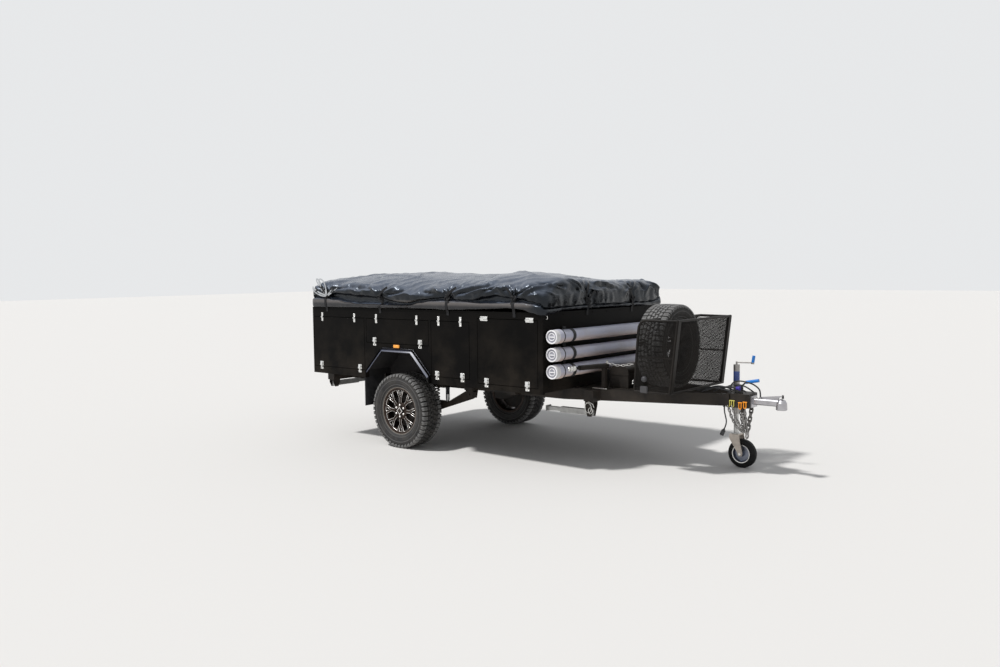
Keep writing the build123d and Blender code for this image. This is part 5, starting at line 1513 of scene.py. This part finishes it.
def loop_at(run, share, near, far, rear, front, radius):
    """A rounded rectangle's points and outward directions, inset from the body's edge."""
    x_low, x_high = body_rear + rear, body_front - front
    y_low, y_high = -body_half + near, body_half - far
    corners = [(x_high - radius, y_low + radius), (x_high - radius, y_high - radius),
               (x_low + radius, y_high - radius), (x_low + radius, y_low + radius)]
    x, y, out_x, out_y = (np.zeros(len(run)) for n in range(4))
    for side in range(4):
        angle = -math.pi / 2 + side * math.pi / 2
        begin, end = corners[side - 1], corners[side]
        on_side = run == 2 * side
        t = share[on_side]
        x[on_side] = begin[0] + (end[0] - begin[0]) * t + radius * math.cos(angle)
        y[on_side] = begin[1] + (end[1] - begin[1]) * t + radius * math.sin(angle)
        out_x[on_side], out_y[on_side] = math.cos(angle), math.sin(angle)
        turning = run == 2 * side + 1
        bend = angle + share[turning] * math.pi / 2
        x[turning] = end[0] + radius * np.cos(bend)
        y[turning] = end[1] + radius * np.sin(bend)
        out_x[turning], out_y[turning] = np.cos(bend), np.sin(bend)
    return x, y, out_x, out_y


def table_at(table, place, column):
    """A column of a side's table at a place, eased between its rows."""
    rows = table[:, 0]
    index = np.clip(np.searchsorted(rows, place) - 1, 0, len(rows) - 2)
    share = np.clip((place - rows[index]) / (rows[index + 1] - rows[index]), 0, 1)
    share = share * share * (3 - 2 * share)
    return table[index, column] * (1 - share) + table[index + 1, column] * share


smoothing_passes = 16


def soft_grid():
    """The top's heights on a fine grid, with the kinks between its rows smoothed away."""
    fine_x, fine_y = np.linspace(-1.40, 1.95, 135), np.linspace(-1.10, 1.10, 89)
    rows = np.array([np.interp(fine_x, top_along, row) for row in top_heights])
    grid = np.array([np.interp(fine_y, top_across, rows[:, n]) for n in range(len(fine_x))])
    for _ in range(smoothing_passes):
        edged = np.pad(grid, 1, mode="edge")
        grid = (edged[1:-1, 1:-1] * 2 + edged[:-2, 1:-1] + edged[2:, 1:-1] + edged[1:-1, :-2]
                + edged[1:-1, 2:]) / 6
    return fine_x, fine_y, grid


grid_x, grid_y, grid_z = soft_grid()


def top_height(x, y):
    """Height of the cover's top at places counted from the axle."""
    across = np.clip((x - grid_x[0]) / (grid_x[1] - grid_x[0]), 0, len(grid_x) - 1.001)
    along = np.clip((y - grid_y[0]) / (grid_y[1] - grid_y[0]), 0, len(grid_y) - 1.001)
    i, j = across.astype(int), along.astype(int)
    s, t = across - i, along - j
    return ((grid_z[i, j] * (1 - s) + grid_z[i + 1, j] * s) * (1 - t)
            + (grid_z[i, j + 1] * (1 - s) + grid_z[i + 1, j + 1] * s) * t)


def soft_noise(points, scale, seed):
    """Smooth noise from a sum of crossed waves, for broad unevenness."""
    draws = np.random.default_rng(seed)
    total = np.zeros(len(points))
    waves = 9
    for _ in range(waves):
        way = draws.normal(size=3)
        way /= np.linalg.norm(way)
        size = scale * draws.uniform(0.6, 1.7)
        total += np.sin(points @ way * 2 * math.pi / size + draws.uniform(0, 6.28)) / waves ** 0.5
    return total


runs, shares = edge_runs().T
edge_x, edge_y, out_x, out_y = loop_at(runs, shares, 0, 0, 0, 0, corner_round)
beside = np.clip((np.abs(out_y) - np.abs(out_x)) * 2 + 0.5, 0, 1)


def cover_rings():
    """Every ring of the cover from its tucked hem to the middle of its top."""
    as_near = np.where(edge_y > 0, far_shift - edge_x * far_scale, edge_x)
    from_side = [table_at(near_side, as_near, column) for column in range(1, 5)]
    along_front = np.where(edge_x > 0, edge_y, -edge_y)
    from_front = [table_at(front_side, along_front, column) for column in range(1, 5)]
    hem, lip, under, proud = (beside * a + (1 - beside) * b
                              for a, b in zip(from_side, from_front))
    tuck = np.where(hem < body_top + 0.001, 0.003, -0.014)
    recess = 0.004 + 0.034 * np.clip((under - lip - 0.006) / 0.045, 0, 1)
    round_up = 1 - beside * 0.55
    profile = [
        (tuck, hem + 0.004), (np.maximum(tuck, -0.004), hem - 0.001), (0.012, hem - 0.001),
        (0.019, hem + 0.004), (0.0225, hem + 0.013), (0.024, hem * 0.6 + lip * 0.4),
        (0.0225, lip - 0.016), (0.018, lip - 0.006), (0.010, lip), (0.000, lip - 0.001),
        (-recess * 0.6, lip + 0.002), (-recess, (lip + under) / 2), (-recess * 0.8, under - 0.003),
        (proud * 0.2 - 0.008, under - 0.003), (proud * 0.7, under), (proud + 0.001, under + 0.010),
        (proud + 0.003, under + 0.010 + 0.040 * round_up),
        (proud + 0.001, under + 0.010 + 0.090 * round_up),
    ]
    found = [np.stack([edge_x + out_x * offset, edge_y + out_y * offset, height + 0 * edge_x], 1)
             for offset, height in profile]
    low_up = under + 0.010 + 0.090 * round_up
    rear_fuller = np.clip((-0.90 - edge_x) / 0.34, 0, 1) * np.clip(-edge_y, 0, 1)
    shoulder = 36
    for step in range(1, shoulder + 1):
        share = step / shoulder
        turn = share * math.pi / 2
        inward = (1 - math.cos(turn)) ** 1.08
        px, py, away_x, away_y = loop_at(runs, shares, 0.34 * inward, 0.24 * inward,
                                         0.11 * inward, 0.11 * inward,
                                         corner_round + 0.16 * share)
        px, py = px + away_x * (proud + 0.001), py + away_y * (proud + 0.001)
        py = py - 0.20 * inward * rear_fuller
        rise = math.sin(turn) ** (1.0 + 0.25 * (1 - share))
        found.append(np.stack([px, py, low_up + (top_height(px, py) - low_up) * rise], 1))
    rim = found[-1]
    crown_x = np.clip(edge_x, body_rear + spine_inset, body_front - spine_inset)
    rows = 46
    for step in range(1, rows + 1):
        share = (step / rows) ** 0.93
        px, py = rim[:, 0] + (crown_x - rim[:, 0]) * share, rim[:, 1] * (1 - share)
        found.append(np.stack([px, py, top_height(px, py)], 1))
    return np.array(found)


def grid_normals(rings):
    """Outward directions of a grid that is closed round its rings."""
    around = np.roll(rings, -1, 1) - np.roll(rings, 1, 1)
    out = np.cross(around, np.gradient(rings, axis=0))
    return out / np.maximum(np.linalg.norm(out, axis=2, keepdims=True), 1e-9)


def fold_heights(places, folds):
    """Sum of folds that are drawn flat, at places drawn the same way."""
    total = np.zeros(len(places))
    for height, half, line in folds:
        line = np.array(line)
        nearest, along, passed = np.full(len(places), 9.0), np.zeros(len(places)), 0.0
        whole = np.linalg.norm(np.diff(line, axis=0), axis=1).sum()
        for start, end in zip(line, line[1:]):
            way = end - start
            long = np.linalg.norm(way)
            t = np.clip((places - start) @ way / long ** 2, 0, 1)
            apart = np.linalg.norm(places - start - t[:, None] * way, axis=1)
            closer = apart < nearest
            nearest = np.where(closer, apart, nearest)
            along = np.where(closer, (passed + t * long) / whole, along)
            passed += long
        wide = half * (0.55 + 0.8 * along)
        fade = np.sin(np.clip(along * 1.05 + 0.07, 0, 1) * math.pi) ** 0.5
        total += 1.3 * height * fade * np.exp(-(nearest / wide) ** 2)
    return total


rings = cover_rings()
ring_count, step_count, _ = rings.shape
flat = rings.reshape(-1, 3).copy()
level = np.arange(ring_count)[:, None] * np.ones(step_count)
roll_end, side_end = 12, 42
above_roll = np.clip((level - roll_end) / 4, 0, 1)
on_top = np.clip((level - side_end) / 12, 0, 1)
upright = above_roll * (1 - on_top)
lift = np.zeros(len(flat))
for facing, places, folds in (
        (-out_y, flat[:, [0, 2]], near_folds), (out_x, flat[:, [1, 2]], front_folds),
        (out_y, flat[:, [0, 2]] * (-far_scale, 1) + (far_shift, 0), near_folds),
        (-out_x, flat[:, [1, 2]] * (-1, 1), front_folds)):
    mask = (np.clip(facing * 3 - 0.5, 0, 1) * upright).reshape(-1)
    lift += mask * fold_heights(places, folds)
lift += on_top.reshape(-1) * 1.4 * fold_heights(flat[:, :2], top_folds)
for number, (x, y) in enumerate(ties):
    gap = flat - np.array([x, y, knot_height])
    spread = np.linalg.norm(gap * np.array([1, 1, 0.6]), axis=1)
    around = np.arctan2(gap[:, 2], gap[:, 0] + gap[:, 1])
    rays = np.sin(around * 11 + 2.2 * number) * np.exp(-spread / 0.09) * (1 - np.exp(-spread / 0.02))
    lift += above_roll.reshape(-1) * (0.0120 * rays - 0.020 * np.exp(-(spread / 0.045) ** 2))
lift = lift.reshape(ring_count, step_count)
broad = soft_noise(flat, 0.55, 3).reshape(ring_count, step_count)
fine = soft_noise(flat * np.array([1, 1, 1.6]), 0.16, 8).reshape(ring_count, step_count)
small = soft_noise(flat * np.array([1, 1, 1.5]), 0.07, 15).reshape(ring_count, step_count)
lift += above_roll * (0.0046 * fine * (1 - 0.5 * on_top) + 0.0022 * small * (1 - 0.6 * on_top))
lift += on_top * (0.0040 * broad - 0.003)
lift += (1 - above_roll) * (0.0018 * fine + 0.0009 * small) * np.clip(level / 3, 0, 1)
normals = grid_normals(rings)
moved = rings + normals * lift[:, :, None]
for axis, (least, most) in enumerate(cover_room):
    moved[:, :, axis] = np.clip(moved[:, :, axis], least, most)
faces = []
for first in range(0, (ring_count - 1) * step_count, step_count):
    for step in range(step_count):
        after = (step + 1) % step_count
        faces.append((first + step, first + after, first + step_count + after,
                      first + step_count + step))
cover_mesh = bpy.data.meshes.new("storm_cover_cloth")
cover_mesh.from_pydata(moved.reshape(-1, 3).tolist(), [], faces)
cover_work = bmesh.new()
cover_work.from_mesh(cover_mesh)


def vinyl_finish():
    """Black coated cloth with painted light: faces that turn up are painted pale blue as a painted
    sky reflection and those that turn down near black as painted shade, the front face is
    painted darker as painted shade, the roll carries a painted ground reflection with a painted
    sunlit top edge, and pale dust lies in patches where it faces up.
    """
    made = Finish("cover_vinyl", IOR=1.5, Specular_IOR_Level=0.44,
                  Specular_Tint=(0.80, 0.89, 1.0))
    patches = made.noise(2.6, 5, 0.6)
    scuffs = made.noise(34, 6, 0.7)
    # Painted sky reflection and shade: the colour follows how far each point faces up, lighter blue
    # upwards and near black downwards.
    facing = made.node("ShaderNodeAttribute", {"attribute_name": "bleached"}, {}, 2)
    facing = facing + 0.44 * patches - 0.22
    # Painted shade: the colour is drawn darker on the front face, which faces away from the lamp.
    back = made.axis("X")
    facing = facing * (0.55 + 0.45 * ((1.810 - from_axle - back) * 8).kept())
    shade = made.ramp(facing, (0.04, (0.0020, 0.0022, 0.0028)), (0.24, (0.008, 0.010, 0.015)),
                      (0.50, (0.040, 0.050, 0.070)), (0.76, (0.082, 0.099, 0.134)),
                      (1.00, (0.092, 0.110, 0.147)))
    dusty = ((made.noise(6, 6, 0.7) * 1.8) - 0.78).kept() * facing.kept() * 0.35
    height_here = made.axis("Z")
    beside_body = ((abs(made.axis("Y")) - 0.965) * 40).kept()
    beside_body = beside_body * ((1.740 - from_axle - back) * 14).kept()
    # Painted reflection on the roll: a dark brown band for the ground that it mirrors, a painted
    # sunlit tan along its top edge, and painted shade on the front hem.
    roll_low = ((1.470 - height_here) * 30).kept() * beside_body
    roll_lit = roll_low * ((height_here - 1.412) * 22).kept()
    hem_shade = ((1.428 - height_here) * 40).kept() * (1 - beside_body)
    wear_and_painted_light = made.mixed(roll_low, shade, (0.022, 0.019, 0.018))
    wear_and_painted_light = made.mixed(hem_shade, wear_and_painted_light, (0.004, 0.004, 0.005))
    wear_and_painted_light = made.mixed(roll_lit * (0.3 + 0.7 * patches), wear_and_painted_light, (0.26, 0.23, 0.21))
    colour = made.mixed(dusty, wear_and_painted_light, (0.13, 0.12, 0.11))
    crackle = made.node("ShaderNodeTexVoronoi", {"feature": "DISTANCE_TO_EDGE"},
                        {"Vector": made.stretched(1, 1, 1.7), "Scale": 16.0})
    creased = crackle.maths("MINIMUM", crackle, 0.12) * 6
    weave = made.noise(1400, 2, 0.5)
    height = creased * 0.45 + made.noise(42, 4, 0.6) * 0.9 + weave * 0.05
    return made.surface(Base_Color=colour, Roughness=0.15 + 0.16 * scuffs + 0.3 * dusty,
                        Normal=made.bump(height, 0.35, 0.004))


storm_cloth = piece_of(cover_work, "storm_cover_cloth", vinyl_finish(), merge=0.0005, angle=0)
storm_cloth.data.shade_smooth()
# Painted sky reflection: how far each point faces up is kept for the vinyl's colour to read.
bleached = storm_cloth.data.attributes.new("bleached", "FLOAT", "POINT")
facing_up = [max(vertex.normal.z, 0.0) for vertex in storm_cloth.data.vertices]
bleached.data.foreach_set("value", facing_up)
dress(storm_cloth, "trailer", ("storm_cover",))


# Ties of the cover: flat nylon webbing that comes up from the body, over the rolled hem, and is
# knotted under the bulge. Loose tails stand away from the knots, and at the near rear corner
# spare webbing is gathered in pale loops.
def webbing(name, shade, shine):
    """Woven nylon webbing with fine cross ribs."""
    made = Finish(name, Specular_IOR_Level=0.35)
    weave = made.noise(900, 2, 0.5)
    return made.surface(Base_Color=made.mixed(made.noise(20, 4), shade, tuple(1.6 * c for c in shade)),
                        Roughness=shine + 0.2 * weave, Normal=made.bump(weave, 0.3, 0.0005))


black_webbing = webbing("black_webbing", (0.004, 0.004, 0.005), 0.55)
pale_webbing = webbing("pale_webbing", (0.34, 0.35, 0.36), 0.35)


def ribbon(points, outward, wide, finish, thick=0.0018):
    """Flat webbing along a line of points, its face turned to the outward direction."""
    line = [Vector(point) for point in points]
    fuller = []
    for n in range(len(line) - 1):
        before, after = line[max(n - 1, 0)], line[min(n + 2, len(line) - 1)]
        a, b = line[n], line[n + 1]
        for step in range(6):
            t = step / 6
            fuller.append(0.5 * ((2 * a) + (b - before) * t + (2 * before - 5 * a + 4 * b - after)
                                 * t * t + (3 * a - before - 3 * b + after) * t ** 3))
    fuller.append(line[-1])
    mesh = bmesh.new()
    rows = []
    for n, point in enumerate(fuller):
        way = (fuller[min(n + 1, len(fuller) - 1)] - fuller[max(n - 1, 0)]).normalized()
        side = way.cross(Vector(outward)).normalized() * wide / 2
        lift_by = side.cross(way).normalized() * thick / 2
        rows.append([mesh.verts.new(point + a * side + b * lift_by)
                     for a, b in ((-1, -1), (1, -1), (1, 1), (-1, 1))])
    bridged(mesh, rows)
    return piece_of(mesh, "webbing", finish, angle=50)


def knot(place, turn_by, finish, size=0.0100):
    """An overhand knot, drawn tight, as a closed line of rolled webbing."""
    x, y, z = place
    c, s = math.cos(turn_by), math.sin(turn_by)
    path = []
    for step in range(49):
        t = 2 * math.pi * step / 48
        a, b = math.sin(t) + 2 * math.sin(2 * t), math.cos(t) - 2 * math.cos(2 * t)
        path.append((x + size * (a * c - b * s) * (1 if abs(y) > 0.98 else 0.35),
                     y + size * (-math.sin(3 * t) * 0.8 if abs(y) > 0.98 else a * c - b * s),
                     z + size * (a * s + b * c)))
    return smooth(bars("knot", [path], size * 0.85, 8, finish))


def step_near(x, y):
    """The step of the cover's rings that is nearest to a place on the body's edge."""
    return int(np.argmin(np.hypot(edge_x - x, edge_y - y)))


tie_parts = []
for number, (x, y) in enumerate(ties):
    step = step_near(x, y)
    away = Vector((out_x[step], out_y[step], 0))
    on_front = abs(away.x) > 0.5
    top_ring = 36 if on_front else 13
    climb = [Vector(moved[ring, step]) + Vector(normals[ring, step]) * 0.0022
             for ring in range(2, top_ring, 2 if on_front else 1)]
    base = Vector((edge_x[step], edge_y[step], 0))
    foot = [base + away * 0.0030 + Vector((0, 0, 1.330)),
            base + away * 0.0045 + Vector((0, 0, 1.362))]
    if climb[0].z < 1.372:
        foot = foot[:1]
        foot[0].z = climb[0].z - 0.030
    tie_parts.append(ribbon(foot + climb, away, 0.030, black_webbing))
    held = base + away * 0.010 + Vector((0, 0, 1.492 if not on_front else 1.455))
    tie_parts.append(knot(tuple(held), 0.7 * number, black_webbing))
    lean = 1 if number % 3 else -0.6
    level_way = Vector((-away.y, away.x, 0)) * lean
    for reach, up, size in ((0.125, 0.095, 0.022), (0.070, 0.060, 0.018), (0.050, -0.060, 0.020)):
        tail = [held + away * 0.004, held + level_way * reach * 0.45 + away * 0.012
                + Vector((0, 0, up * 0.62)), held + level_way * reach + away * 0.009
                + Vector((0, 0, up))]
        tie_parts.append(ribbon(tail, away, size, black_webbing))
loops_out = [
    [(-1.02, 1.505), (-1.10, 1.585), (-1.20, 1.655), (-1.235, 1.668), (-1.215, 1.635),
     (-1.12, 1.560), (-1.03, 1.502)],
    [(-1.02, 1.505), (-1.12, 1.580), (-1.19, 1.645), (-1.165, 1.668), (-1.09, 1.625), (-1.02, 1.515)],
    [(-1.02, 1.498), (-1.13, 1.525), (-1.24, 1.570), (-1.262, 1.590), (-1.235, 1.548),
     (-1.12, 1.500), (-1.03, 1.492)],
    [(-1.01, 1.505), (-0.95, 1.560), (-0.885, 1.600), (-0.865, 1.590), (-0.90, 1.560), (-1.00, 1.500)],
]
for number, line in enumerate(loops_out):
    places = [(x + 0.028, -1.008 - 0.003 * (number % 3) + 0.30 * max(z - 1.53, 0), z)
              for x, z in line]
    tie_parts.append(ribbon(places, (0, -1, 0.25), 0.0150, pale_webbing))
tie_piece = dress(joined("cover_ties", tie_parts), "trailer")
hook = [(x, -0.942, z) for x, z in ((1.806, 1.322), (1.818, 1.319), (1.825, 1.326), (1.826, 1.338),
                                    (1.820, 1.350), (1.806, 1.354))]
dress(smooth(bars("front_hook", [hook], 0.0034, 10, bright)), "trailer")
